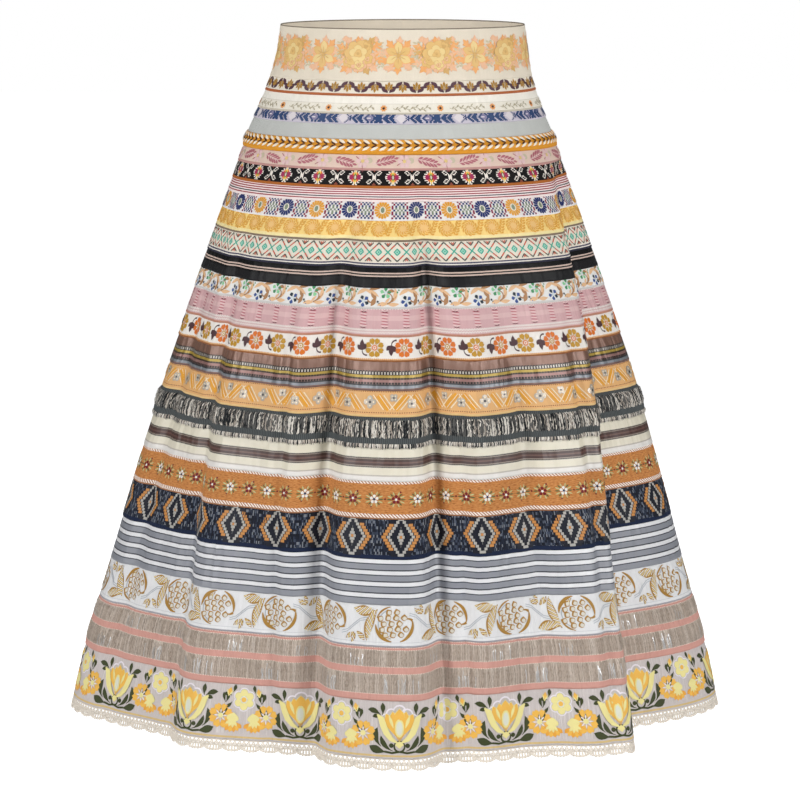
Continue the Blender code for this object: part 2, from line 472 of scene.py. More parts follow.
def fill_ramp(node: bpy.types.Node, stops: Sequence[tuple[float, str]]) -> None:
    """Gives a colour ramp these stops, each held until the next.

    Args:
        node: The ramp's node.
        stops: (place from 0 to 1, sRGB hex) of each stop, in order.
    """
    elements = node.color_ramp.elements
    node.color_ramp.interpolation = "CONSTANT"
    elements[0].position, elements[0].color = 0.0, linear(stops[0][1])
    elements.remove(elements[1])
    for place, hue in stops[1:]:
        elements.new(min(place, 1.0)).color = linear(hue)


# --- The skirt's form ---


class Section(NamedTuple):
    """The plain section at a drop below the waist, in metres."""

    drop: float
    half_width: float
    front: float
    back: float
    aside: float
    behind: float


class Fold(NamedTuple):
    """A fold line down the cloth.

    Attributes:
        name: Which one it is.
        waist_deg: Where it is at the waist, in degrees counter-clockwise from +X.
        hem_deg: Where it is at the hem.
        offset: How far it stands out at the hem.
        start: Drop below the waist at which it starts.
        growth: The power of its growth down to the hem.
    """

    name: str
    waist_deg: float
    hem_deg: float
    offset: float
    start: float
    growth: float


class Crease(NamedTuple):
    """A soft trough that runs down the skirt, steeper on one side than on the other.

    Attributes:
        name: Which one it is.
        top_deg: Where it is at its start, in degrees counter-clockwise from +X.
        hem_deg: Where it is at the hem.
        depth: How deep it grows.
        fall: How wide its side at the lower angles is.
        rise: How wide its side at the higher angles is.
        start: Drop below the waist at which it starts.
    """

    name: str
    top_deg: float
    hem_deg: float
    depth: float
    fall: float
    rise: float
    start: float


def eased(knots: np.ndarray, values: np.ndarray, at: np.ndarray) -> np.ndarray:
    """A smooth curve through (knots, values) that never overshoots, read at many places.

    Args:
        knots: Places of the given values, rising.
        values: The values there.
        at: Places to read, inside the knots.

    Returns:
        The curve's values.
    """
    span = np.diff(knots)
    rise = np.diff(values) / span
    before, after = np.append(rise[:1], rise), np.append(rise, rise[-1:])
    both = before * after
    total = before + after
    slope = np.where(both > 0, 2 * both / np.where(total == 0, 1, total), 0)
    k = np.clip(np.searchsorted(knots, at, side="right") - 1, 0, len(span) - 1)
    t = (at - knots[k]) / span[k]
    return (
        (2 * t**3 - 3 * t**2 + 1) * values[k]
        + (t**3 - 2 * t**2 + t) * slope[k] * span[k]
        + (3 * t**2 - 2 * t**3) * values[k + 1]
        + (t**3 - t**2) * slope[k + 1] * span[k]
    )


@dataclass(frozen=True)
class SkirtForm:
    """The worn skirt's outer surface.

    Attributes:
        sections: Its plain sections, from the waist down.
        folds: Its fold lines, counter-clockwise.
        creases: Its narrow creases and, where their depth is less than 0, ridges.
        fold_top: Drop at which the fold lines start to lean.
        hem_drop: Drop of the hem.
        lean_power: How early the fold lines reach their places at the hem.
        crease_fade: How far down a crease grows to its whole depth.
        hem_calm: Share of a crease's depth that is lost at the hem.
    """

    sections: tuple[Section, ...]
    folds: tuple[Fold, ...]
    creases: tuple[Crease, ...]
    fold_top: float = 0.13
    hem_drop: float = 0.675
    lean_power: float = 2.0
    crease_fade: float = 0.10
    hem_calm: float = 0.5

    def section(self, drop: float) -> Section:
        """The plain section at this drop."""
        columns = np.array(self.sections).T
        return Section(*(float(eased(columns[0], c, np.array([drop]))[0]) for c in columns))

    def ring(self, angles: np.ndarray, drop: float, stand_out: np.ndarray | float) -> np.ndarray:
        """Points of one ring of cloth.

        Args:
            angles: Degrees, counter-clockwise from +X.
            drop: Metres below the waist.
            stand_out: Metres to move the ring outwards.

        Returns:
            One row of x, y and z for each angle.
        """
        section = self.section(drop)
        down = clamped((drop - self.fold_top) / (self.hem_drop - self.fold_top))
        lean = (1 - down) ** self.lean_power
        lines, offsets = [], []
        for fold in self.folds:
            lines.append(fold.hem_deg + (fold.waist_deg - fold.hem_deg) * lean)
            grown = clamped((drop - fold.start) / (self.hem_drop - fold.start))
            offsets.append(fold.offset * grown**fold.growth)
        knots = np.array(lines)
        knots = np.concatenate([knots[-3:] - FULL_TURN, knots, knots[:3] + FULL_TURN])
        values = np.array(offsets[-3:] + offsets + offsets[:3])
        wrapped = lines[0] + np.mod(angles - lines[0], FULL_TURN)
        offset = eased(knots, values, wrapped)
        turn = np.radians(angles)
        depth = np.where(np.sin(turn) > 0, section.back, section.front)
        radius = section.half_width * depth
        radius = radius / np.hypot(depth * np.cos(turn), section.half_width * np.sin(turn))
        radius = radius + offset + stand_out
        radius = radius - self._crease_depth(angles, drop, radius)
        x = section.aside + radius * np.cos(turn)
        y = section.behind + radius * np.sin(turn)
        return np.stack([x, y, np.full_like(x, -drop)], axis=1)

    def _crease_depth(self, angles: np.ndarray, drop: float, radius: np.ndarray) -> np.ndarray:
        """How far the creases sink the cloth in at each angle of a ring.

        Args:
            angles: Degrees, counter-clockwise from +X.
            drop: Metres below the waist.
            radius: The ring's radius there.

        Returns:
            The depth in metres at each angle.
        """
        depth = np.zeros_like(angles)
        for crease in self.creases:
            grown = clamped((drop - crease.start) / self.crease_fade)
            down = clamped((drop - crease.start) / (self.hem_drop - crease.start))
            at = crease.top_deg + (crease.hem_deg - crease.top_deg) * down
            away = np.mod(angles - at + FULL_TURN / 2, FULL_TURN) - FULL_TURN / 2
            away = np.radians(away) * radius
            width = np.where(away < 0, crease.fall, crease.rise)
            left = 1 - self.hem_calm * down**4
            depth += crease.depth * grown * left * np.exp(-((away / width) ** 2))
        return depth


FORM = SkirtForm(
    sections=(
        Section(0.000, 0.1190, 0.088, 0.088, 0.0000, 0.000),
        Section(0.020, 0.1207, 0.090, 0.090, 0.0000, 0.001),
        Section(0.050, 0.1272, 0.094, 0.097, -0.0015, 0.003),
        Section(0.100, 0.1466, 0.106, 0.116, -0.0028, 0.008),
        Section(0.150, 0.1653, 0.122, 0.137, -0.0018, 0.012),
        Section(0.250, 0.1999, 0.160, 0.168, -0.0015, 0.018),
        Section(0.350, 0.2327, 0.180, 0.190, -0.0008, 0.022),
        Section(0.450, 0.2622, 0.197, 0.208, -0.0020, 0.025),
        Section(0.550, 0.2900, 0.210, 0.223, -0.0025, 0.028),
        Section(0.620, 0.3104, 0.219, 0.232, -0.0030, 0.030),
        Section(0.700, 0.3285, 0.227, 0.241, -0.0030, 0.032),
    ),
    folds=(
        Fold("back_right_hollow", 28, 16, -14 * MM, 0.20, 1.0),
        Fold("back_right_lobe", 44, 35, 15 * MM, 0.17, 1.0),
        Fold("back_right_fold", 58, 52, -17 * MM, 0.22, 1.0),
        Fold("back_right_inner_lobe", 74, 71, 12 * MM, 0.20, 1.0),
        Fold("centre_back_hollow", 90, 90, -13 * MM, 0.16, 1.0),
        Fold("back_left_inner_lobe", 106, 108, 15 * MM, 0.20, 1.0),
        Fold("back_left_fold", 122, 127, -18 * MM, 0.17, 1.0),
        Fold("back_left_lobe", 140, 146, 13 * MM, 0.22, 1.0),
        Fold("back_left_hollow", 158, 165, -12 * MM, 0.20, 1.0),
        Fold("left_side", 175, 184, 8 * MM, 0.15, 1.0),
        Fold("left_hollow", 190, 207, -24 * MM, 0.16, 0.8),
        Fold("left_lobe", 202, 220, -5 * MM, 0.16, 1.0),
        Fold("left_flat", 218, 232, -15 * MM, 0.22, 1.0),
        Fold("front_left_hollow", 233, 242, -24 * MM, 0.22, 1.0),
        Fold("front_lobe_shoulder", 247, 254, 9 * MM, 0.20, 1.0),
        Fold("front_lobe", 263, 272, 24 * MM, 0.17, 1.0),
        Fold("front_right_step", 277, 286, -2 * MM, 0.17, 1.0),
        Fold("front_right_hollow", 298, 299, -5 * MM, 0.20, 1.0),
        Fold("right_lobe", 336, 318.5, 24 * MM, 0.13, 1.0),
        Fold("deep_right_fold", 352, 333, -48 * MM, 0.13, 0.5),
        Fold("right_side", 368, 358, -2 * MM, 0.15, 1.0),
    ),
    creases=(
        Crease("front_centre", 279.5, 280.5, 15 * MM, 11 * MM, 9 * MM, 0.13),
        Crease("front_centre_ridge", 291, 291, -13 * MM, 17 * MM, 34 * MM, 0.20),
        Crease("front_step", 287, 286.5, 3 * MM, 4 * MM, 5 * MM, 0.30),
        Crease("front_left", 246.5, 248.5, 15 * MM, 9 * MM, 17 * MM, 0.14),
        Crease("front_left_ridge", 238, 242.5, -13 * MM, 30 * MM, 12 * MM, 0.20),
        Crease("front_left_upper", 235, 237, 4 * MM, 6 * MM, 5 * MM, 0.20),
        Crease("left_front", 206, 211, 9 * MM, 9 * MM, 18 * MM, 0.17),
        Crease("left", 189, 195, 7 * MM, 9 * MM, 15 * MM, 0.22),
        Crease("front_right_edge", 325, 316.5, 7 * MM, 8 * MM, 7 * MM, 0.25),
        Crease("front_right", 305, 307, 6 * MM, 9 * MM, 11 * MM, 0.26),
        Crease("right", 372, 366, 6 * MM, 10 * MM, 10 * MM, 0.27),
        Crease("back_right", 42, 28, 9 * MM, 11 * MM, 11 * MM, 0.20),
        Crease("back_inner_right", 63, 62, 6 * MM, 8 * MM, 8 * MM, 0.27),
        Crease("back_left", 117, 121, 11 * MM, 9 * MM, 13 * MM, 0.18),
        Crease("back_outer_left", 150, 157, 8 * MM, 10 * MM, 12 * MM, 0.25),
    ),
)


# --- Drawing flat ---


def polar(centre: Point, radius: float, angle: float, squash: float = 1.0) -> Point:
    """The point at this radius and angle in degrees round a centre, turning up."""
    turn = math.radians(angle)
    return (centre[0] + radius * math.cos(turn), centre[1] - radius * squash * math.sin(turn))


EIGHT_PETALS = tuple(22.5 + i * 45 for i in range(8))  # degrees


def walk(start: Point, headings: Sequence[float], step: float) -> list[Point]:
    """The points of a path with one step along each of these headings, in degrees.

    Args:
        start: (u, v) of the first point.
        headings: Degrees, turning up.
        step: Length of each step.

    Returns:
        The path's points, with the start.
    """
    path = [start]
    for heading in headings:
        path.append(polar(path[-1], step, heading))
    return path


class Art:
    """A flat drawing in millimetres: u along the ribbon, v down it, and lift out of the cloth."""

    CURL_STEP = 1.6  # millimetres of a stem in one face
    CURL_THINNING = 0.65  # share of a stem's width that it loses to its end
    LEAF_CROWN = 0.18  # height of a leaf's or petal's middle over its edges
    ROUND_CROWN = 0.15
    NOTCH_POWER = 1.5  # more than 1 rounds the lobes and sharpens the notches
    RIM = (0.5, 1.2)  # how much longer and wider an outline is than its leaf
    RIM_LIFT = 0.1

    def __init__(self, seed: int) -> None:
        """Starts an empty drawing, and its own random numbers from the seed.

        Args:
            seed: Starts its random numbers.
        """
        self.flat = bmesh.new()
        self.yarns: list[Yarn] = []
        self.chance = random.Random(seed)

    def _paint(self, verts: Sequence[bmesh.types.BMVert], yarn: Yarn) -> None:
        """Gives the faces on these points a yarn.

        Args:
            verts: Points of one shape.
            yarn: Its thread.
        """
        if yarn not in self.yarns:
            self.yarns.append(yarn)
        number = self.yarns.index(yarn)
        for face in {f for v in verts for f in v.link_faces}:
            face.material_index = number
            face.smooth = True

    def strip(
        self, spine: Sequence[Point], widths: Sequence[float], yarn: Yarn,
        lift: float | Sequence[float] = LIFT, crown: float = 0.0,
    ) -> None:
        """Draws a band along a line of points.

        Args:
            spine: (u, v) of each point.
            widths: Half the band's width at each point.
            yarn: Its thread.
            lift: Height over the cloth, for all points or for each.
            crown: Height of its middle over its edges.
        """
        last = len(spine) - 1
        rows = 2 if crown else 1
        made = bmesh.ops.create_grid(self.flat, x_segments=last, y_segments=rows, size=1.0)
        lifts = [lift] * (last + 1) if isinstance(lift, (int, float)) else list(lift)
        for vert in made["verts"]:
            i = round((vert.co.x + 1) / 2 * last)
            side = vert.co.y
            (u0, v0), (u1, v1) = spine[max(i - 1, 0)], spine[min(i + 1, last)]
            run = math.hypot(u1 - u0, v1 - v0) or 1.0
            u = spine[i][0] + side * widths[i] * (v1 - v0) / run
            v = spine[i][1] - side * widths[i] * (u1 - u0) / run
            vert.co = (u, -v, lifts[i] + crown * (1 - abs(side)))
        self._paint(made["verts"], yarn)

    def line(
        self, points: Sequence[Point], width: float, yarn: Yarn, lift: float = LIFT
    ) -> None:
        """Draws a line of even width through these points, in short steps.

        Args:
            points: (u, v) of its corners.
            width: Its width.
            yarn: Its thread.
            lift: Height over the cloth.
        """
        spine = [points[0]]
        for (u0, v0), (u1, v1) in zip(points, points[1:]):
            steps = max(math.ceil(math.hypot(u1 - u0, v1 - v0) / LONGEST_STEP), 1)
            for i in range(1, steps + 1):
                spine.append((u0 + (u1 - u0) * i / steps, v0 + (v1 - v0) * i / steps))
        self.strip(spine, [width / 2] * len(spine), yarn, lift)

    def curl(
        self, start: Point, angle: float, length: float, turn: float, width: float, yarn: Yarn,
        tight: float = 1.0, lift: float = LIFT,
    ) -> tuple[Point, float]:
        """Draws a curling stem that thins to its end.

        Args:
            start: (u, v) where it starts.
            angle: Degrees of its first heading, turning up.
            length: Its length.
            turn: Degrees that it turns in all.
            width: Its width at the start.
            yarn: Its thread.
            tight: More than 1 curls it up towards its end.
            lift: Height over the cloth.

        Returns:
            Where it ends and its last heading in degrees.
        """
        steps = max(math.ceil(length / self.CURL_STEP), 4)
        headings = [angle + turn * (i / steps) ** tight for i in range(1, steps + 1)]
        spine = walk(start, headings, length / steps)
        thinning = self.CURL_THINNING / steps
        self.strip(spine, [width / 2 * (1 - thinning * i) for i in range(steps + 1)], yarn, lift)
        return spine[-1], headings[-1]

    def leaf(
        self, root: Point, angle: float, length: float, width: float, yarn: Yarn,
        bend: float = 0.0, belly: float = 0.5, steps: int = 6, lift: float = LIFT,
        rim: Yarn | None = None,
    ) -> None:
        """Draws a leaf or petal that starts at its root.

        Args:
            root: (u, v) where it starts.
            angle: Degrees from the ribbon's run, turning up.
            length: Its length.
            width: Its greatest width.
            yarn: Its thread.
            bend: How many degrees it turns from root to tip.
            belly: Where it is widest, from 0 at the root to 1 at the tip.
            steps: How many quads it has.
            lift: Height over the cloth.
            rim: Thread of a thin outline, if it has one.
        """
        if rim:
            longer, wider = self.RIM
            self.leaf(root, angle, length + longer, width + wider, rim, bend, belly, steps, lift)
            lift += self.RIM_LIFT
        power = math.log(0.5) / math.log(belly)
        places = [i / steps for i in range(1, steps + 1)]
        headings = [angle + bend * (t - 0.5 / steps) for t in places]
        widths = [width / 2 * math.sin(math.pi * t**power) for t in places]
        widths = [widths[0] * 0.35, *widths[:-1], 0.02]
        self.strip(walk(root, headings, length / steps), widths, yarn, lift, self.LEAF_CROWN)

    def petals(
        self, centre: Point, reach: float, angles: Sequence[float],
        *size: float | Yarn, **form: float,
    ) -> None:
        """Draws petals or leaves that point away from a centre.

        Args:
            centre: (u, v) of their middle.
            reach: How far from it their roots are.
            angles: Each one's heading in degrees.
            *size: A leaf's length, width and thread.
            **form: A leaf's other arguments.
        """
        for angle in angles:
            self.leaf(polar(centre, reach, angle), angle, *size, **form)

    def blossom(
        self, centre: Point, reach: float, spread: float, *size: float | Yarn, **form: float
    ) -> None:
        """Draws a blossom of eight notched petals, each of two leaves side by side.

        Args:
            centre: (u, v) of its middle.
            reach: How far from it the petals' roots are.
            spread: How far the two leaves part, as a share of how far their roots do.
            *size: A leaf's length, width and thread.
            **form: A leaf's other arguments.
        """
        for middle in EIGHT_PETALS:
            for turn in (-9, 9):
                root = polar(centre, reach, middle + turn)
                self.leaf(root, middle + turn * spread, *size, **form)

    def jagged(
        self, root: Point, angle: float, length: float, width: float, yarn: Yarn
    ) -> None:
        """Draws a leaf with pointed lobes on both sides; its arguments are those of a leaf."""
        self.leaf(root, angle, length, width * 0.62, yarn, steps=4)
        for share, lean, reach in ((0.12, 62, 0.52), (0.42, 48, 0.42)):
            start = polar(root, length * share, angle)
            for side in (-1, 1):
                self.leaf(start, angle + side * lean, length * reach, width * 0.36, yarn, steps=3)

    def disc(
        self, centre: Point, radius: float, yarn: Yarn, squash: float = 1.0, lobes: int = 0,
        notch: float = 0.0, lift: float = LIFT, sides: int = 12,
    ) -> None:
        """Draws a round or lobed shape.

        Args:
            centre: (u, v) of its middle.
            radius: Its greatest radius.
            yarn: Its thread.
            squash: Its height as a share of its width.
            lobes: How many lobes it has; 0 for a plain round.
            notch: How deep the notches between the lobes are, as a share of the radius.
            lift: Height over the cloth.
            sides: Points of a plain round.
        """
        segments = lobes * 5 if lobes else sides
        made = bmesh.ops.create_circle(
            self.flat, cap_ends=True, cap_tris=True, segments=segments, radius=1.0
        )
        for vert in made["verts"]:
            around = math.atan2(vert.co.y, vert.co.x)
            out = vert.co.length
            swing = abs(math.sin(lobes * around / 2)) if lobes else 1.0
            size = radius * out * (1 - notch * (1 - swing) ** self.NOTCH_POWER)
            u = centre[0] + size * math.cos(around)
            v = centre[1] - size * squash * math.sin(around)
            vert.co = (u, -v, lift + self.ROUND_CROWN * (1 - out))
        self._paint(made["verts"], yarn)

    def block(
        self, centre: Point, width: float, height: float, yarn: Yarn, lift: float = LIFT
    ) -> None:
        """Draws an upright rectangle.

        Args:
            centre: (u, v) of its middle.
            width: Its width.
            height: Its height.
            yarn: Its thread.
            lift: Height over the cloth.
        """
        made = bmesh.ops.create_circle(self.flat, cap_ends=True, segments=4, radius=1.0)
        for vert, (right, low) in zip(made["verts"], ((-1, -1), (1, -1), (1, 1), (-1, 1))):
            u, v = centre[0] + right * width / 2, centre[1] + low * height / 2
            vert.co = (u, -v, lift)
        self._paint(made["verts"], yarn)

    def chart(
        self, rows: Sequence[str], key: dict[str, Yarn], origin: Point, cell: Point
    ) -> None:
        """Weaves a charted figure, one letter for each thread crossing.

        Args:
            rows: The chart, top row first; a dot is the ground.
            key: The thread of each letter.
            origin: (u, v) of the chart's upper left corner.
            cell: Width and height of one crossing.
        """
        for r, row in enumerate(rows):
            c = 0
            while c < len(row):
                run = c
                while run < len(row) and row[run] == row[c] and (run - c) * cell[0] < LONGEST_STEP:
                    run += 1
                if row[c] in key:
                    middle = (origin[0] + (c + run) / 2 * cell[0], origin[1] + (r + 0.5) * cell[1])
                    self.block(middle, (run - c) * cell[0], cell[1], key[row[c]])
                c = run

    def repeat(self, count: int, pitch: float, start: float) -> None:
        """Repeats the whole drawing along the ribbon.

        Args:
            count: How many there are in all.
            pitch: Millimetres from one to the next.
            start: How far the first is moved.
        """
        bmesh.ops.translate(self.flat, verts=self.flat.verts, vec=(start, 0, 0))
        first = [*self.flat.verts, *self.flat.edges, *self.flat.faces]
        for number in range(1, count):
            made = bmesh.ops.duplicate(self.flat, geom=first)["geom"]
            verts = [g for g in made if isinstance(g, bmesh.types.BMVert)]
            bmesh.ops.translate(self.flat, verts=verts, vec=(number * pitch, 0, 0))

    def finish(self, name: str) -> bpy.types.Object:
        """Turns the drawing to a mesh object, still flat, with its faces up.

        Args:
            name: The object's name.

        Returns:
            The object.
        """
        bmesh.ops.recalc_face_normals(self.flat, faces=self.flat.faces)
        for face in self.flat.faces:
            if face.normal.z < 0 and any(e.is_boundary for e in face.edges):
                face.normal_flip()
        mesh = bpy.data.meshes.new(name)
        self.flat.to_mesh(mesh)
        self.flat.free()
        for yarn in self.yarns:
            mesh.materials.append(yarn.material())
        return add_object(name, mesh)


def read_points(mesh: bpy.types.Mesh) -> np.ndarray:
    """A mesh's points, one row each.

    Args:
        mesh: The mesh.

    Returns:
        Rows of x, y and z.
    """
    flat = np.empty(len(mesh.vertices) * 3)
    mesh.vertices.foreach_get("co", flat)
    return flat.reshape(-1, 3)


def keep_flat_places(mesh: bpy.types.Mesh, points: np.ndarray) -> None:
    """Keeps each corner's flat place, in metres, as the UV map that the finishes read.

    Args:
        mesh: The mesh, which gets the map.
        points: Its flat points.
    """
    corners = np.empty(len(mesh.loops), dtype=np.int64)
    mesh.loops.foreach_get("vertex_index", corners)
    places = points[corners, :2] * np.array([MM, -MM])
    mesh.uv_layers.new(name="ribbon").data.foreach_set("uv", places.ravel())


# --- Ribbons ---


class Motif(NamedTuple):
    """How a ribbon's figure repeats: about this many millimetres apart, with one at shift."""

    pitch: float
    shift: float = 0.0


@dataclass
class Ribbon:
    """One tier: a ribbon gathered on to the tier above, with its woven figures.

    Attributes:
        node: The frame's node, which gives its height and its drop below the waist.
        ground: The ribbon's own cloth.
        motif: How its figures repeat, or None for plain cloth.
        raised: How far its middle stands out, in millimetres.
        gather: Height of the gathers below its upper seam, in millimetres.
        gather_length: Millimetres from one gather to the next.
    """

    node: str
    ground: Ground
    motif: Motif | None = None
    raised: float = 0.0
    gather: float = 0.5
    gather_length: float = 11.0

    COLUMN = 2.5  # millimetres between two columns of the cloth's mesh
    ROW = 5.5
    TOP_ROW = 1.2  # millimetres from the upper edge to the first row inside it
    FOOT_ROW = 1.0
    THICKNESS = 0.6
    FINE = 2881  # places round the ring at which its run is measured
    TUCK = 0.55  # how far the upper edge goes in under the ribbon above
    TUCK_HEIGHT = 3.0
    FLARE = 0.55  # how far the lower edge stands out over the ribbon below
    WAVES = 7  # how many waves of different lengths make up the gathers
    WAVE_SUM = 2.6  # what their sum is divided by, so that it is about 1 high

    def __post_init__(self) -> None:
        """Measures the tier on the frame and works out its surface."""
        low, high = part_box(self.node)
        self.top = -high.z
        self.height = (high.z - low.z) / MM
        self._lay_out()

    def _lay_out(self) -> None:
        """Works out a net of points on the tier, even along the gathered cloth."""
        fine = np.linspace(SEAM_DEG, SEAM_DEG + FULL_TURN, self.FINE)
        middle = FORM.ring(fine, self.top + self.height / 2 * MM, 0.0)
        run = np.concatenate([[0.0], np.cumsum(np.linalg.norm(np.diff(middle, axis=0), axis=1))])
        self.length = run[-1] / MM
        columns = round(self.length / self.COLUMN)
        self.us = np.linspace(0.0, self.length, columns + 1)
        angles = np.interp(self.us, run / MM, fine)
        self.front = float(np.interp(FRONT_DEG, fine, run)) / MM
        inner = max(round((self.height - 3) / self.ROW), 1)
        between = np.linspace(self.TOP_ROW, self.height - self.FOOT_ROW, inner + 1)
        self.vs = np.concatenate([[0.0], between, [self.height + EDGE_LAP]])
        rows = []
        for v in self.vs:
            out = self._profile(v) + self._gathers(self.us, v)
            rows.append(FORM.ring(angles, self.top + v * MM, out * MM))
        self.points = np.array(rows)
        self.points[:, -1] = self.points[:, 0]
        self.normals = self._normals()

    def _profile(self, v: float) -> float:
        """How far the cloth stands out at this place across it, in millimetres.

        Args:
            v: Millimetres below the upper edge.

        Returns:
            Millimetres outwards.
        """
        t = v / self.height
        tucked = self.TUCK * max(1 - v / self.TUCK_HEIGHT, 0.0)
        crown = self.raised * max(1 - abs(2 * t - 1) ** 4, 0.0)
        return self.FLARE * t**2 + crown - tucked

    def _gathers(self, us: np.ndarray, v: float) -> np.ndarray:
        """The gathers' height at one row, strongest just below the upper seam.

        Args:
            us: Places along the ribbon.
            v: The row, below the upper edge.

        Returns:
            Millimetres outwards at each place.
        """
        chance = np.random.default_rng(sum(self.node.encode()))
        total = np.zeros_like(us)
        mean = self.length / self.gather_length
        for _ in range(self.WAVES):
            waves = round(mean * chance.uniform(0.55, 1.5))
            phase = chance.uniform(0, 2 * math.pi)
            total += np.sin(2 * math.pi * waves * us / self.length + phase) / self.WAVE_SUM
        # Some stretches are calmer than others, and all gathers fade down the ribbon.
        calm = 0.55 + 0.45 * np.sin(2 * math.pi * 5 * us / self.length + chance.uniform(0, 6))
        fade = 0.3 + 0.7 * math.exp(-v / (0.35 * self.height))
        return self.gather * total * calm * fade * min(v / 2.0, 1.0)

    def _normals(self) -> np.ndarray:
        """Unit normals of the net, outwards.

        Returns:
            One normal for each point of the net.
        """
        ring = self.points[:, :-1]
        across = np.roll(ring, -1, axis=1) - np.roll(ring, 1, axis=1)
        down = np.gradient(ring, axis=0)
        normal = np.cross(down, across)
        normal /= np.linalg.norm(normal, axis=2, keepdims=True)
        return np.concatenate([normal, normal[:, :1]], axis=1)

    def place(self, flat: np.ndarray) -> np.ndarray:
        """Lays flat points on the tier.

        Args:
            flat: Rows of u, -v and lift in millimetres; u is counted from the front's middle.

        Returns:
            Rows of x, y and z in metres.
        """
        u = np.mod(flat[:, 0] + self.front, self.length)
        v = np.clip(-flat[:, 1], self.vs[0], self.vs[-1])
        beyond = (-flat[:, 1] - v) * MM
        i = np.clip(np.searchsorted(self.us, u, side="right") - 1, 0, len(self.us) - 2)
        j = np.clip(np.searchsorted(self.vs, v, side="right") - 1, 0, len(self.vs) - 2)
        s = ((u - self.us[i]) / (self.us[i + 1] - self.us[i]))[:, None]
        t = ((v - self.vs[j]) / (self.vs[j + 1] - self.vs[j]))[:, None]

        def read(net: np.ndarray) -> np.ndarray:
            """Reads a net between its four nearest points."""
            upper = net[j, i] * (1 - s) + net[j, i + 1] * s
            lower = net[j + 1, i] * (1 - s) + net[j + 1, i + 1] * s
            return upper * (1 - t) + lower * t

        placed = read(self.points) + read(self.normals) * flat[:, 2:3] * MM
        placed[:, 2] -= beyond
        return placed

    def cloth(self) -> bpy.types.Object:
        """Makes the ribbon's own cloth, gathered into a closed ring.

        Returns:
            The cloth.
        """
        columns, rows = len(self.us) - 1, len(self.vs) - 1
        sheet = bmesh.new()
        bmesh.ops.create_grid(sheet, x_segments=columns, y_segments=rows, size=1.0)
        sheet.verts.ensure_lookup_table()
        spots = []
        for vert in sheet.verts:
            i, j = round((vert.co.x + 1) / 2 * columns), round((1 - vert.co.y) / 2 * rows)
            spots.append((i, j))
            vert.co = (self.us[i], -self.vs[j], 0.0)
        mesh = bpy.data.meshes.new(self.node + "_cloth")
        sheet.to_mesh(mesh)
        sheet.free()
        keep_flat_places(mesh, read_points(mesh))
        places = np.array([self.points[j, i] for i, j in spots])
        mesh.vertices.foreach_set("co", places.ravel())
        closed = bmesh.new()
        closed.from_mesh(mesh)
        bmesh.ops.remove_doubles(closed, verts=closed.verts, dist=1e-6)
        closed.to_mesh(mesh)
        closed.free()
        mesh.shade_smooth()
        piece = add_object(self.node + "_cloth", mesh)
        self.thicken(piece)
        mesh.materials.append(self.ground.material(self.node, self.height))
        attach(piece, "root")
        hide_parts(self.node)
        return piece

    def thicken(self, piece: bpy.types.Object) -> None:
        """Gives a piece the cloth's thickness, inwards.

        Args:
            piece: The cloth or lace.
        """
        wall = piece.modifiers.new("Wall", "SOLIDIFY")
        wall.thickness = self.THICKNESS * MM
        wall.offset = -1.0

    def draw(self, art: Art) -> None:
        """Draws one repeat of the ribbon's figures; plain ribbons draw none.

        Args:
            art: The flat drawing, in which every tier draws its own repeat.
        """

    def wrap(self, art: Art, name: str) -> bpy.types.Object:
        """Lays a flat drawing on the tier as one piece that rides with the skirt.

        Args:
            art: The flat drawing.
            name: The piece's name.

        Returns:
            The piece.
        """
        piece = art.finish(name)
        points = read_points(piece.data)
        keep_flat_places(piece.data, points)
        piece.data.vertices.foreach_set("co", self.place(points).ravel())
        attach(piece, "root")
        return piece

    def figures(self) -> bpy.types.Object | None:
        """Weaves the ribbon's figures all round it.

        Returns:
            The figures, or None for plain cloth.
        """
        if self.motif is None:
            return None
        repeats = round(self.length / self.motif.pitch)
        self.step = self.length / repeats
        art = Art(len(self.node))
        self.draw(art)
        art.repeat(repeats, self.step, self.motif.shift)
        return self.wrap(art, self.node + "_figures")

    def build(self) -> None:
        """Makes the cloth and its figures and reports them."""
        for piece in filter(None, (self.cloth(), self.figures())):
            log.info("%s: %d faces", piece.name, len(piece.data.polygons))


# --- The ribbons, from the waist down ---


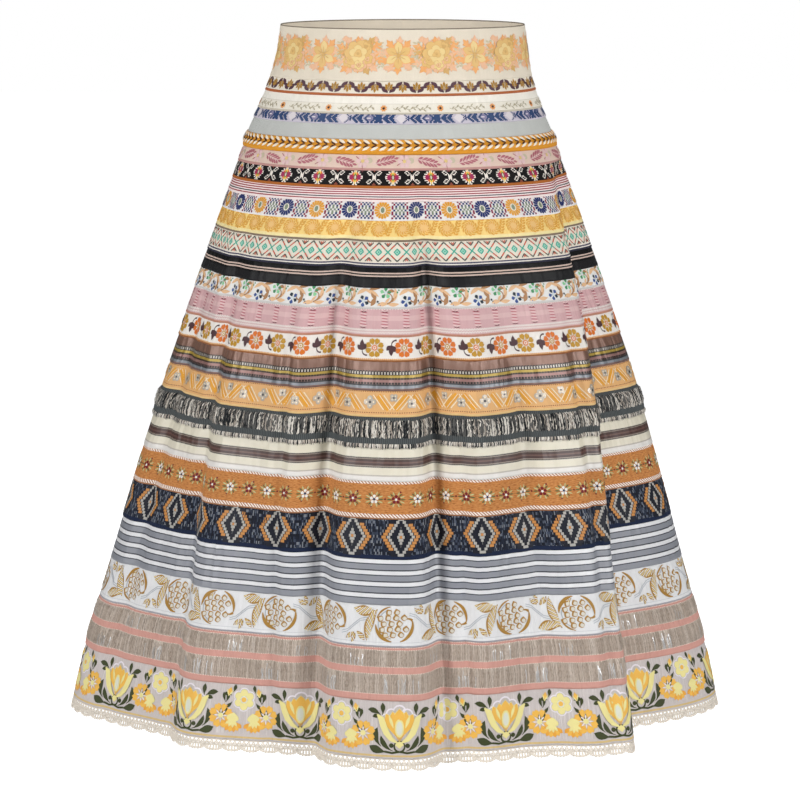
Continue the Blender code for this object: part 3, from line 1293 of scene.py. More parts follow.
@dataclass
class Waistband(Ribbon):
    """A firm ecru band with a row of roses and lilies woven in it."""

    node: str = "waistband"
    ground: Ground = Ground(
        ((0.0, "#857A6A"), (0.9, "#E8DDCA")), Weave.TWILL, 0.75, relief=0.05, pucker=0.4
    )
    motif: Motif = Motif(74.4, -41.0)
    gather: float = 0.0

    GOLD = Yarn("#EBC27C")
    PALE = Yarn("#F2D594")
    TAN = Yarn("#DBAF6C")
    PEACH = Yarn("#F2C09A")
    APRICOT = Yarn("#F4B06E")
    BUFF = Yarn("#D6C8A6")

    # Whorls of a rose, the last in front: u and v from its middle, scale, petals and heart.
    WHORLS = (
        (8.0, 3.6, 0.6, PEACH, GOLD),
        (-8.6, 4.8, 0.55, GOLD, PEACH),
        (6.0, -8.2, 0.5, TAN, GOLD),
        (0.6, 9.2, 0.56, PEACH, PALE),
        (-1.2, -1.4, 1.0, GOLD, PALE),
    )
    # Rings of a whorl: petals, reach, size, and how far they stand out.
    RINGS = ((7, 8.6, 5.0, 0.0), (5, 4.9, 4.0, 0.35), (3, 1.8, 2.4, 0.65))

    def draw(self, art: Art) -> None:
        """Draws a rose, a lily and the sprigs between them."""
        self.rose(art, (0.0, 25.0))
        self.lily(art, (self.step / 2, 25.0))
        for side in (-1, 1):
            self.sprig(art, (side * 18.5, 25.0), side)

    def rose(self, art: Art, centre: Point) -> None:
        """A full rose: jagged leaves round whorls of overlapping round petals."""
        hues = (self.PEACH, self.APRICOT, self.TAN, self.PEACH, self.APRICOT) * 3
        for i, hue in enumerate(hues):
            angle = 8 + i * FULL_TURN / len(hues) + art.chance.uniform(-7, 7)
            wide = abs(math.cos(math.radians(angle)))
            root = polar(centre, 9.0 + 3.6 * wide, angle, 0.9)
            art.jagged(root, angle, 9.0 + 5.4 * wide, 8.0, hue)
        for k, (u, v, scale, outer, inner) in enumerate(self.WHORLS):
            middle = (centre[0] + u, centre[1] + v)
            for (count, reach, size, out), hue in zip(self.RINGS, (outer, inner, outer)):
                for i in range(count):
                    turn = 35 * k + 20 * count + i * FULL_TURN / count
                    spot = polar(middle, reach * scale, turn, 0.95)
                    lift = LIFT + 0.1 * k + out + 0.05 * i
                    art.disc(spot, size * scale + 0.35, self.TAN, 0.9, lift=lift)
                    art.disc(spot, size * scale, hue, 0.9, lift=lift + 0.03)
            art.disc(middle, 1.5 * scale, self.TAN, lift=LIFT + 0.1 * k + 0.9, sides=8)

    def lily(self, art: Art, centre: Point) -> None:
        """An open lily of six pointed petals on jagged apricot leaves."""
        for i in range(10):
            angle = 20 + i * 36 + art.chance.uniform(-8, 8)
            hue = self.APRICOT if i % 2 else self.PEACH
            art.jagged(polar(centre, 6.6, angle), angle, 12.0, 8.0, hue)
        for i in range(6):
            angle = 28 + i * 60
            root = polar(centre, 1.2, angle)
            hue = self.PALE if i % 2 else self.GOLD
            art.leaf(root, angle, 12.0, 7.4, hue, 12, 0.55, 6, LIFT + 0.15, self.APRICOT)
            art.leaf(root, angle, 7.0, 0.9, self.TAN, 12, 0.5, 4, LIFT + 0.45)
        art.disc(centre, 1.9, self.TAN, lift=LIFT + 0.55, sides=8)

    def sprig(self, art: Art, root: Point, side: int) -> None:
        """A pale thorny spray with peach leaves."""
        for lean, length in ((82, 13.0), (-76, 12.0), (10, 6.0)):
            heading = mirrored(lean, side)
            tip, last = art.curl(root, heading, length, 30 * side, 1.9, self.BUFF)
            art.jagged(tip, last, 6.0, 5.0, self.PEACH)
            for step in (0.3, 0.6, 0.85):
                thorn = polar(root, length * step, heading)
                for turn, reach, width in ((60, 4.2, 2.0), (-60, 3.4, 1.8)):
                    art.leaf(thorn, heading + turn, reach, width, self.BUFF, steps=4)


@dataclass
class Vine(Ribbon):
    """Aubergine leaf pairs in a zigzag, with an ochre bud in every turn."""

    node: str = "ribbon_01_vine"
    ground: Ground = Ground(((0.0, "#EBE2D2"), (12.3, "#B2643A")), relief=0.05, pucker=0.5)
    motif: Motif = Motif(26.4, -11.4)
    gather: float = 0.12

    LEAF = Yarn("#553642")
    BUD = Yarn("#B0822F")

    def draw(self, art: Art) -> None:
        """Draws one turn down and one turn up, each with its leaf pair and bud."""
        for middle, foot, up in ((0.0, 11.2, 1), (self.step / 2, 1.5, -1)):
            for side in (-1, 1):
                heading = 90 - side * 47
                root = (middle + side * 0.8, foot)
                art.leaf(root, up * heading, 8.6, 4.8, self.LEAF)
            bud = (middle, foot - up * 1.8)
            for lean, length in ((90, 8.2), (62, 7.2), (118, 7.2), (34, 5.0), (146, 5.0)):
                art.leaf(bud, up * lean, length, 2.5, self.BUD, belly=0.74, steps=4)


@dataclass
class FlowerDots(Ribbon):
    """Plain cream over a pale strip with small orange flowers and leaf sprigs."""

    node: str = "ribbon_02_flower_dots"
    ground: Ground = Ground(
        ((0.0, "#F6F1E6"), (8.0, "#D6CFC0"), (8.4, "#EFE9DB"), (16.2, "#CBC2B1")), relief=0.05
    )
    motif: Motif = Motif(53.2, -15.4)
    gather: float = 0.26
    gather_length: float = 8.0

    PETAL = Yarn("#EBA35F")
    EYE = Yarn("#43211A")
    SPRIG = Yarn("#B9AF94")

    def draw(self, art: Art) -> None:
        """Draws a flower and the sprig beside it."""
        middle = 12.4
        art.disc((0, middle), 3.1, self.PETAL, lobes=8, notch=0.3)
        art.disc((0, middle), 1.25, self.EYE, lift=LIFT + 0.15, sides=8)
        turns = np.linspace(0, 6 * math.pi, 31)
        stem = [(9 + i * 1.18, middle + 1.1 * math.sin(turn)) for i, turn in enumerate(turns)]
        art.line(stem, 0.5, self.SPRIG)
        for i in range(2, 30, 2):
            side = 1 if i % 4 else -1
            art.leaf(stem[i], side * 58, 3.5, 1.3, self.SPRIG, side * -30, steps=4)


@dataclass
class BlueLozenge(Ribbon):
    """Blue arrows, lozenges and crosses on a pale lilac ground."""

    node: str = "ribbon_03_blue_lozenge"
    ground: Ground = Ground(((0.0, "#CBC4D0"),), relief=0.05, pucker=0.6)
    motif: Motif = Motif(55.4, -46.5)
    gather: float = 0.15

    KEY = {"b": Yarn("#2A4573"), "l": Yarn("#8D87A6"), "w": Yarn("#E6DEE2")}
    # Upper half of one repeat, down to its middle row: arrows, lozenge, cross, arrows, pale
    # lozenge, small cross and small arrow.
    CHART = (
        "....bb..bbb..bb.bb.bbb.bbb...bbbb.bbb...w.b....",
        "...bbb.bbb...bb.bb.bbbbbbb..bbbb.bbb...www.b...",
        "..bbb.bbbb..bblllbb.bbbbb..bbbb.bbb...wwwww.b.b",
        ".bbb.bbbb..bblllllbbbbbbb.bbbb.bbbb..wwwwwww.bb",
        "bbb.bbbbb.bblwwwllbbbbbbbbbbbbbbbb..wwwwwwwwb.b",
    )

    def draw(self, art: Art) -> None:
        """Weaves one repeat."""
        cell = (self.step / len(self.CHART[0]), (self.height - 0.6) / 9)
        art.chart(doubled(self.CHART), self.KEY, (0.0, 0.3), cell)


@dataclass
class Braid(Ribbon):
    """A plaited braid: slanted cream and amber floats on both sides of dark chevrons."""

    node: str = "ribbon_05_mustard_braid"
    ground: Ground = Ground(
        ((0.0, "#C58420"), (1.4, "#E29A2C"), (11.6, "#E0982B")), Weave.GROSGRAIN, 0.8, relief=0.2
    )
    motif: Motif = Motif(7.9)
    raised: float = 1.8
    gather: float = 0.1

    CREAM = Yarn("#FAF0DE")
    RUST = Yarn("#4E240C")
    AMBER = Yarn("#EBA53C", pitch=0.6)

    def draw(self, art: Art) -> None:
        """Draws one plait."""
        for v, slant in ((3.3, 1), (9.7, -1)):
            for shift, hue, full in ((0.0, self.CREAM, 2.1), (4.0, self.AMBER, 2.0)):
                steps = [(t, min(t, 1 - t) * 2) for t in (0.0, 0.18, 0.5, 0.82, 1.0)]
                spine = [(shift + t * 7.0 - 3.5, v + slant * (t - 0.5) * 3.4) for t, _ in steps]
                widths = [0.2 + full * 0.5 * swell**0.5 for _, swell in steps]
                art.strip(spine, widths, hue, [0.2 + 0.5 * swell for _, swell in steps], crown=0.4)
        chevron = [(-2.6, 4.1), (-0.4, 5.3), (1.8, 6.5), (-0.4, 7.7), (-2.6, 8.9)]
        art.strip(chevron, [0.5, 0.75, 0.8, 0.75, 0.5], self.RUST, 0.85, crown=0.2)


@dataclass
class PinkLeaf(Ribbon):
    """Feathered rose-pink leaves and pale flowers on a beige silk."""

    node: str = "ribbon_06_pink_leaf"
    ground: Ground = Ground(((0.0, "#E2C8B8"), (12.9, "#C1918A")), Weave.SATIN, 0.5, pucker=0.8)
    motif: Motif = Motif(78.0, -24.0)
    gather: float = 0.2

    ROSE = Yarn("#B96E79")
    PALE = Yarn("#EBC9C9")
    GOLD = Yarn("#E8CB86")
    SAND = Yarn("#CDC2A6")

    def draw(self, art: Art) -> None:
        """Draws two leaves that point up and down in turn, each with its flower."""
        for start, side in ((0.0, 1), (self.step / 2, -1)):
            self.feather(art, start, side)
            middle = (start + 28.0, 6.6)
            sixths = range(0, 360, 60)
            art.petals(middle, 0.8, sixths, 5.8, 4.4, self.PALE, belly=0.66, steps=4)
            art.disc(middle, 1.7, self.GOLD, lift=LIFT + 0.2, sides=8)
            art.disc((start + 34.6, 6.0), 2.7, self.SAND)
            rise = 10.5 if side > 0 else 2.5
            art.curl((start + 21.0, rise), 25 * side, 17.0, side * 70, 0.9, self.ROSE)

    def feather(self, art: Art, start: float, side: int) -> None:
        """A long leaf of separate leaflets along one rib, which rises or falls."""
        slope = side * 14
        for i, length in enumerate((5.6, 7.2, 7.4, 6.6, 5.4)):
            root = polar((start, 6.8 + side * 2.2), 1.5 + 3.6 * i, slope)
            for turn in (-1, 1):
                art.leaf(root, slope + turn * 40, length, 2.2, self.ROSE, -turn * 14, 0.6, 4)
        tip = polar((start, 6.8 + side * 2.2), 19.0, slope)
        art.leaf(tip, slope, 4.6, 2.2, self.ROSE, steps=4)
        art.line([(start - 1.5, 6.8 + side * 2.6), tip], 0.7, self.PALE, LIFT + 0.15)


@dataclass
class Rosette(Ribbon):
    """Stepped rosettes and looped crosses on black."""

    node: str = "ribbon_07_black_rosette"
    ground: Ground = Ground(((0.0, "#141112"), (15.2, "#B0662E")), relief=0.04, gloss=0.15)
    motif: Motif = Motif(36.2, -14.4)
    gather: float = 0.15

    KEY = {
        "w": Yarn("#F0E8DE"),
        "m": Yarn("#A01E52"),
        "o": Yarn("#E0662A"),
        "y": Yarn("#F0CB55"),
        "g": Yarn("#5E9A48"),
        "r": Yarn("#8E4634"),
    }
    # Upper half of each figure, down to its middle row.
    ROSE_CHART = (
        ".....ww.ww.....",
        "......wyw......",
        "...ww.wyw.ww...",
        "....woyyyow....",
        ".wwwooygyooww..",
        "..mmmorgrommm..",
        "wwmmmmrwrmmmmww",
        "wmmmmmgwgmmmmmw",
    )
    CROSS_CHART = (
        ".....rrr.....",
        ".ww...r...ww.",
        "w..w.....w..w",
        ".w..w...w..w.",
        "..ww.w.w.ww..",
        ".....www.....",
        ".....www.....",
    )

    def draw(self, art: Art) -> None:
        """Weaves a rosette and a cross."""
        for chart, left, cell in ((self.ROSE_CHART, 0.0, 0.97), (self.CROSS_CHART, 18.3, 1.12)):
            rows = doubled(chart)
            art.chart(rows, self.KEY, (left, 0.4), (cell, 14.6 / len(rows)))


@dataclass
class Sunflowers(Ribbon):
    """Gold and blue sunflowers in turn, with mosaics of dots between them."""

    node: str = "ribbon_09_sunflower"
    ground: Ground = Ground(((0.0, "#EDE9E7"),), relief=0.04)
    motif: Motif = Motif(64.8, -17.1)
    gather: float = 0.25

    GOLD = Yarn("#E8A63E")
    BLUE = Yarn("#22316C")
    SAGE = Yarn("#83917A")
    WHITE = Yarn("#EFE9D8")
    KEY = {"n": BLUE, "m": Yarn("#8A1A42"), "s": SAGE}
    # Left upper quarter of one mosaic, with its middle row and column.
    QUARTER = ("m.n.n", ".m.n.", "m.n.s", "m.s.s", ".n.s.")

    def draw(self, art: Art) -> None:
        """Draws a gold flower, a blue one and the mosaic after each."""
        middle = self.height / 2 - 0.1
        rows = [doubled(row) for row in doubled(self.QUARTER)]
        for start, hue in ((0.0, self.GOLD), (self.step / 2, self.BLUE)):
            centre = (start, middle)
            for i in range(16):
                spine = [polar(centre, reach, i * 22.5) for reach in (2.4, 5.0, 7.0, 8.0)]
                art.strip(spine, [0.4, 0.85, 1.2, 0.5], hue)
            art.disc(centre, 3.0, self.WHITE, 1.15, lift=LIFT + 0.12)
            art.disc(centre, 1.8, self.SAGE, 1.45, lift=LIFT + 0.25, sides=10)
            left = start + self.step / 4 - 7.9
            art.chart(rows, self.KEY, (left, 0.8), (1.76, (self.height - 1.4) / 9))


@dataclass
class YellowLeaf(Ribbon):
    """Gold leaf scrolls on a yellow silk."""

    node: str = "ribbon_10_yellow_leaf"
    ground: Ground = Ground(
        ((0.0, "#CFC2A6"), (0.7, "#FBD986"), (15.4, "#F9E6A8"), (18.3, "#857463")),
        Weave.SATIN, 0.5,
    )
    motif: Motif = Motif(22.6, -4.0)
    gather: float = 0.3

    GOLD = Yarn("#E9AC48")
    PEACH = Yarn("#F3C680")

    def draw(self, art: Art) -> None:
        """Draws one round of leaves and the leafy branch beside it."""
        centre = (6.0, 8.4)
        art.disc(centre, 5.4, self.PEACH, 0.95, lobes=9, notch=0.2, lift=LIFT - 0.05)
        for i in range(12):
            angle = i * 30
            spot = polar(centre, 6.0, angle, 0.92)
            art.leaf(spot, angle + 62, 4.6, 1.6, self.GOLD, 44, steps=4)
            art.leaf(spot, angle - 150, 3.4, 1.3, self.GOLD, -30, steps=3)
        branch = [(13.4 + t * 5.4, 14.6 - t * 12.0) for t in np.linspace(0, 1, 6)]
        for i, spot in enumerate(branch):
            for side in (-1, 1):
                length = 3.6 + 0.8 * (i % 2)
                art.leaf(spot, 63 + side * 52, length, 1.8, self.GOLD, -side * 24, steps=4)


@dataclass
class Lattice(Ribbon):
    """Red diamonds and teal crosses over a cream ground, edged with zigzags."""

    node: str = "ribbon_11_lattice"
    ground: Ground = Ground(
        (
            (0.0, "#7C7669"), (0.6, "#EBE3D3"), (20.2, "#35334A"), (21.5, "#E9E4DA"),
            (22.6, "#2B2A3C"),
        ),
        relief=0.05,
        dashes=(Dash(20.2, 21.5, 1.5, "#77738A", 0.3),),
    )
    motif: Motif = Motif(17.7, -3.5)
    gather: float = 0.3

    RED = Yarn("#D0644C")
    TEAL = Yarn("#49B098")
    MINT = Yarn("#A9DCC9")
    SLATE = Yarn("#4D524A")

    def draw(self, art: Art) -> None:
        """Draws one diamond with half of the cross on each side."""
        half, middle, reach = self.step / 2, 10.5, 8.4
        for side in (-1, 1):
            for end in (-1, 1):
                peak = (0.0, middle - end * reach)
                foot = (side * half * 0.68, middle - end * reach * 0.32)
                knee = (side * half * 0.26, middle - end * reach * 0.74)
                art.line([foot, knee], 1.2, self.RED)
                art.line([knee, peak], 1.1, self.SLATE)
                art.line([foot, (side * half, middle)], 1.15, self.TEAL)
                for step, hue in ((0.0, self.SLATE), (2.1, self.RED)):
                    tip = (side * half, middle - end * (reach - 3.4 + step * 0.5))
                    wing = (side * (half - 3.4 + step), middle - end * (reach - 0.1))
                    art.line([wing, tip], 0.9, hue)
        ring = [polar((0, middle), 2.9, turn) for turn in range(0, 361, 90)]
        art.line(ring, 1.15, self.TEAL)
        art.disc((0, middle), 2.4, self.MINT, sides=4, lift=LIFT - 0.1)
        art.disc((0, middle), 0.9, self.TEAL, sides=4)


@dataclass
class Scroll(Ribbon):
    """Tan and peach acanthus scrolls round green and blue flowers."""

    node: str = "ribbon_13_scroll"
    ground: Ground = Ground(((0.0, "#ECEAE7"), (18.0, "#D3CFCC")), relief=0.04)
    motif: Motif = Motif(41.1, 5.3)
    gather: float = 0.4

    TAN = Yarn("#B08258")
    PEACH = Yarn("#E9BE93")
    GREEN = Yarn("#4A9463")
    MINT = Yarn("#8ED19C")
    BLUE = Yarn("#3A5694")
    DARK = Yarn("#22303A")
    PALE = Yarn("#DCE4E6")

    def draw(self, art: Art) -> None:
        """Draws a blue flower under a brown scroll and a green one beside a peach scroll."""
        half = self.step / 2
        self.flower(art, (0.0, 13.2), self.BLUE, self.DARK, -100)
        self.flower(art, (half + 0.5, 5.6), self.GREEN, self.MINT, 90)
        # Each leaf: root u and v, heading, length, width, thread, bend.
        for u, v, angle, length, width, hue, bend in (
            (-6.8, 7.6, 48, 13.0, 3.6, self.PEACH, -50),
            (1.0, 3.4, -6, 15.0, 3.6, self.PEACH, -34),
            (5.0, 3.0, 24, 10.5, 3.2, self.TAN, -34),
            (7.0, 5.2, -50, 7.0, 3.0, self.TAN, -30),
            (10.6, 10.0, -98, 8.6, 4.4, self.TAN, -34),
            (half + 8.5, 4.4, 150, 6.0, 3.2, self.TAN, 60),
            (half + 8.0, 13.0, 62, 12.5, 3.8, self.PEACH, 46),
            (half + 5.0, 14.0, 32, 9.0, 2.6, self.TAN, 34),
            (half + 2.0, 15.8, 174, 9.5, 4.0, self.PEACH, 24),
            (half + 3.0, 15.8, -8, 10.5, 3.6, self.PEACH, 20),
            (half + 0.5, 15.0, 60, 6.5, 2.4, self.PEACH, -20),
        ):
            art.leaf((u, v), angle, length, width, hue, bend, 0.45)
        art.curl((9.0, 6.2), -30, 18.0, -250, 2.2, self.TAN, 1.2)
        art.curl((half + 2.0, 15.4), 12, 17.0, 210, 1.6, self.TAN, 1.4)
        for u, v, size, hue in (
            (half - 6.8, 13.6, 1.1, self.DARK), (half - 5.4, 15.4, 0.9, self.DARK),
            (half - 4.2, 17.0, 0.7, self.BLUE), (-9.0, 5.0, 1.1, self.GREEN),
            (-7.4, 3.0, 0.8, self.GREEN),
        ):
            art.disc((u, v), size, hue, sides=6)

    def flower(self, art: Art, centre: Point, hue: Yarn, shade: Yarn, turn: float) -> None:
        """A five-petalled flower with a pale heart, shaded at one side."""
        for i in range(5):
            angle = turn + i * 72
            shaded = shade if i in (1, 3) else hue
            art.leaf(polar(centre, 0.9, angle), angle, 4.6, 3.7, shaded, 0, 0.66, 4)
        art.disc(centre, 1.7, self.PALE, lift=LIFT + 0.2, sides=8)


@dataclass
class LadderLace(Ribbon):
    """Pink satin crossed by twisted ladder bars, between ric-rac edges."""

    node: str = "ribbon_14_ladder_lace"
    # The lighter pink band from 7.5 to 12.0 millimetres down is a painted sheen streak along the
    # satin.
    ground: Ground = Ground(
        (
            (0.0, "#E3D2CF"), (1.4, "#D2A8AA"), (7.5, "#DAB6B5"), (12.0, "#D1A7A9"),
            (20.0, "#DFC6C4"), (21.6, "#D6B0B0"), (24.8, "#BE8670"),
        ),
        Weave.SATIN, 0.42, pucker=1.6,
    )
    motif: Motif = Motif(20.6, -1.0)
    gather: float = 0.5

    WHITE = Yarn("#F5ECE6", COTTON)
    ROSE = Yarn("#C4707C")
    PALE = Yarn("#F0CFCD")
    WINE = Yarn("#6A2430")

    def draw(self, art: Art) -> None:
        """Draws one ladder bar with the ric-rac above and below it."""
        for v in (1.0, 20.4, 23.0):
            wave = [(t / 32 * self.step, v + 0.8 * math.sin(t * math.pi / 2)) for t in range(33)]
            art.line(wave, 0.9, self.WHITE)
        for i in range(10):
            v = 4.6 + i * 1.35
            half = 2.5 + 0.9 * abs(i - 4.5) / 4.5
            hue = self.PALE if i % 2 else self.ROSE
            art.line([(6 - half, v - 0.3), (6 + half, v + 0.3)], 0.8, hue)
        for v in (3.6, 17.8):
            for side in (-1, 1):
                art.leaf((6 + side * 0.4, v), 90 - side * 64, 3.4, 1.3, self.PALE, steps=3)
                art.leaf((6 + side * 0.2, v + 0.9), 90 - side * 72, 2.6, 1.1, self.WINE, steps=3)


@dataclass
class OrangeBlossom(Ribbon):
    """Orange and gold blossoms in turn, with plum leaves on curled stems."""

    node: str = "ribbon_15_orange_blossom"
    ground: Ground = Ground(
        ((0.0, "#C07C50"), (1.0, "#EEE8E1"), (20.7, "#C98344"), (22.0, "#9C6236")),
        relief=0.04,
        dashes=(Dash(0.0, 1.0, 1.9, "#F1DCC2", 0.4), Dash(20.7, 22.0, 1.9, "#F1D9B4", 0.4)),
    )
    motif: Motif = Motif(57.0, 2.6)
    gather: float = 0.45

    ORANGE = Yarn("#DD7526")
    GOLD = Yarn("#C4942C")
    PLUM = Yarn("#4E3136")
    WHITE = Yarn("#F3EDE6")

    def draw(self, art: Art) -> None:
        """Draws an orange blossom and a gold one with their leaves."""
        for start, hue, heart, side in (
            (0.0, self.ORANGE, self.GOLD, 1),
            (self.step / 2, self.GOLD, self.ORANGE, -1),
        ):
            centre = (start, 10.9)
            art.blossom(centre, 3.0, 0.5, 6.1, 3.7, hue, belly=0.64, steps=5)
            art.disc(centre, 2.7, heart, sides=10, lift=LIFT + 0.1)
            art.disc(centre, 1.7, self.WHITE, sides=8, lift=LIFT + 0.2)
            art.disc(centre, 0.9, heart, sides=6, lift=LIFT + 0.3)
            root = (start - 7.0, 10.9 - side * 7.0)
            tip, _ = art.curl(root, 180 - side * 20, 8.0, side * 110, 1.6, self.PLUM)
            for lean, length in ((-100, 9.6), (-56, 6.6), (-146, 6.6)):
                art.leaf(tip, side * lean, length, 4.4, self.PLUM, side * 16, 0.5, 5)
            art.leaf(polar(tip, 3.0, side * -100), side * -30, 5.0, 2.6, self.PLUM, steps=4)


@dataclass
class PeachZigzag(Ribbon):
    """Gold zigzag bars and flat sequin flowers on a peach satin."""

    node: str = "ribbon_17_peach_zigzag"
    ground: Ground = Ground(
        ((0.0, "#B9835C"), (0.8, "#E2B075"), (23.2, "#E6C086")),
        Weave.SATIN, 0.5,
        dashes=(Dash(1.5, 2.3, 2.2, "#9A5432", 0.6), Dash(20.8, 21.6, 2.2, "#9A5432", 0.6)),
    )
    motif: Motif = Motif(61.5, -30.0)
    gather: float = 0.6

    GOLD = Yarn("#EBA637")
    WHITE = Yarn("#F6E4C4")
    DISC = Yarn("#BFB5A8", SEQUIN)
    STEEL = Yarn("#5E5B5A", METAL)

    def draw(self, art: Art) -> None:
        """Draws the sequin flowers and three bars between them."""
        top, foot = 5.0, 18.4
        self.flower(art, (0.0, 11.5), 5.8, 0)
        for left, right, rising in ((8.0, 18.0, False), (24.0, 35.5, True), (42.5, 53.0, False)):
            v0, v1 = (foot, top) if rising else (top, foot)
            art.line([(left, v0), (right, v1)], 4.4, self.GOLD)
            art.line([(left + 0.8, v0), (right + 0.8, v1)], 0.7, self.WHITE, LIFT + 0.12)
            for shift in (-5.0, 5.0):
                art.line([(left + shift, v0), (right + shift, v1)], 1.0, self.WHITE)
            art.line([(left - 3.9, v0), (right - 3.9, v1)], 0.8, self.GOLD)
        self.flower(art, (22.5, 7.4), 4.0, 45)
        self.flower(art, (39.5, 13.0), 4.8, 45)

    def flower(self, art: Art, centre: Point, radius: float, turn: float) -> None:
        """Four flat sequins round a steel one."""
        for i in range(4):
            spot = polar(centre, radius * 0.58, turn + i * 90)
            art.disc(spot, radius * 0.48, self.DISC, lift=LIFT + 0.2, sides=8)
            art.disc(spot, radius * 0.16, self.WHITE, lift=LIFT + 0.36, sides=6)
        art.disc(centre, radius * 0.24, self.STEEL, lift=LIFT + 0.5, sides=6)


@dataclass
class TweedTuft(Ribbon):
    """Grey grosgrain with a band of loose tweed threads and a clipped fringe."""

    node: str = "ribbon_18_tweed_tuft"
    ground: Ground = Ground(
        ((0.0, "#555A5B"), (4.6, "#3E4141"), (19.4, "#555A5B"), (25.6, "#3A3C3C")),
        Weave.GROSGRAIN, 0.8, relief=0.3,
        dashes=(Dash(0.0, 4.4, 1.9, "#3F4344", 0.42), Dash(19.6, 25.4, 1.9, "#3F4344", 0.42)),
    )
    motif: Motif = Motif(230.0)
    raised: float = 1.8
    gather: float = 0.7

    THREADS = tuple(
        Yarn(hue, COTTON) for hue in ("#D2CABE", "#A99F94", "#605F5D", "#1D2023", "#E6E0D6")
    )

    def draw(self, art: Art) -> None:
        """Lays a stretch of loose threads over the grosgrain and a fringe below it."""
        chance = art.chance
        for u in np.arange(0.0, self.step, 0.52):
            # Runs of pale and dark threads along the band are painted light and shade of the
            # gathers: the higher shade is, the more pale threads are drawn.
            shade = 0.5 + 0.5 * math.sin(u * 0.11) * math.sin(u * 0.043 + 1.0)
            pale = chance.random() < 0.35 + 0.5 * shade
            hue = chance.choice(self.THREADS if pale else self.THREADS[2:4])
            top, foot = 4.4 + chance.uniform(-0.7, 0.7), 19.6 + chance.uniform(-0.8, 0.8)
            rows = np.linspace(top, foot, 7)
            spine = [(u + chance.uniform(-0.75, 0.75), v) for v in rows]
            lifts = [0.3, *[chance.uniform(0.5, 1.7) for _ in range(5)], 0.3]
            art.strip(spine, [chance.uniform(0.3, 0.62) for _ in range(7)], hue, lifts)
        for u in np.arange(0.0, self.step, 0.8):
            lean = chance.uniform(-0.9, 0.9)
            foot = self.height + chance.uniform(0.2, 2.2)
            spine = [(u, self.height - 3.0), (u + lean / 2, self.height - 1.2), (u + lean, foot)]
            art.strip(spine, [0.4, 0.5, 0.3], chance.choice(self.THREADS), [0.3, 1.3, 1.0])


@dataclass
class OrangeSprig(Ribbon):
    """Small red and white flowers among green leaves on an orange weave, with rope edges."""

    node: str = "ribbon_20_orange_sprig"
    ground: Ground = Ground(
        ((0.0, "#F6EBE1"), (3.4, "#B87239"), (31.0, "#F6EBE1"), (34.4, "#A8714A")),
        flecks=(
            Fleck(3.4, 31.0, 3.6, 0.8, True, ("#8F5226", "#B9733B", "#C58144", "#D08F50")),
        ),
        dashes=(
            Dash(0.3, 3.4, 3.3, "#AB6C46", 0.4, -1.1),
            Dash(31.0, 34.4, 3.3, "#AB6C46", 0.4, -1.1),
        ),
        relief=0.14,
    )
    motif: Motif = Motif(41.0, -25.0)
    gather: float = 0.6

    RED = Yarn("#7A1822")
    WHITE = Yarn("#F4EFE6")
    NAVY = Yarn("#222B4A")
    GREEN = Yarn("#59663A")
    LIME = Yarn("#C6C78C")

    def draw(self, art: Art) -> None:
        """Draws a white flower and a red one, each with a fan of leaves on both sides."""
        for start, hue, heart in (
            (0.0, self.WHITE, self.NAVY),
            (self.step / 2, self.RED, self.WHITE),
        ):
            centre = (start, 17.4)
            for side in (0, 180):
                for i in range(7):
                    angle = side - 66 + i * 22
                    leaf = self.GREEN if i % 2 else self.LIME
                    reach = 5.0 if abs(i - 3) < 2 else 3.8
                    art.leaf(polar(centre, 4.0, angle), angle, reach, 1.4, leaf, steps=3)
            form = {"belly": 0.66, "steps": 4, "lift": LIFT + 0.1}
            art.petals(centre, 0.5, range(90, 450, 72), 3.9, 3.3, hue, **form)
            art.disc(centre, 1.25, heart, lift=LIFT + 0.35, sides=6)
        for u, v in ((self.step / 4, 17.2), (self.step * 0.6, 10.6), (-3.0, 24.2)):
            art.disc((u, v), 1.0, self.RED, sides=6)


@dataclass
class NavyIkat(Ribbon):
    """Stepped diamonds of orange and cream on a flecked navy weave."""

    node: str = "ribbon_21_navy_ikat"
    ground: Ground = Ground(
        ((0.0, "#171B28"), (34.2, "#16233F")),
        flecks=(
            Fleck(
                0.4, 34.2, 1.1, 2.6, False,
                ("#12151F", "#1A2032", "#3E4657", "#151A28", "#5C6473", "#1D2435", "#2F3747",
                 "#11141F", "#7C8088", "#181D2C"),
            ),
        ),
        relief=0.14, gloss=0.2,
    )
    motif: Motif = Motif(46.5, 0.5)
    gather: float = 0.7

    ORANGE = Yarn("#C98A4A")
    CREAM = Yarn("#B3B0AA")
    NAVY = Yarn("#0B0F20")
    ROWS = 6  # rows of a diamond above its middle one
    ROW_HEIGHT = 2.75
    BLOCK_HEIGHT = 0.92 * ROW_HEIGHT
    # Half a diamond's width at its middle row, and what it loses with each row: the orange
    # steps, the cream steps and the cream core.
    OUTER = (16.2, 1.75)
    INNER = (11.6, 1.7)
    CORE = (3.4, 1.1)
    MARGIN = 3.4  # of plain navy outside the orange steps

    def draw(self, art: Art) -> None:
        """Weaves one diamond row by row from its middle, in square steps."""
        middle = 17.4
        for k in range(-self.ROWS, self.ROWS + 1):
            v = middle + k * self.ROW_HEIGHT
            outer, inner, core = (
                wide - abs(k) * loss for wide, loss in (self.OUTER, self.INNER, self.CORE)
            )
            reach = outer + self.MARGIN
            art.line([(-reach, v), (reach, v)], self.ROW_HEIGHT, self.NAVY, LIFT + 0.05)
            for side in (-1, 1):
                if abs(k) < self.ROWS - 1:
                    spot = (side * outer, v)
                    art.block(spot, 4.2, self.BLOCK_HEIGHT, self.ORANGE, LIFT + 0.3)
                art.block((side * inner, v), 2.9, self.BLOCK_HEIGHT, self.CREAM, LIFT + 0.3)
            if core > 0:
                art.line([(-core, v), (core, v)], self.BLOCK_HEIGHT, self.CREAM, LIFT + 0.3)
        art.block((0, middle), 2.4, 2.4, self.ORANGE, LIFT + 0.45)


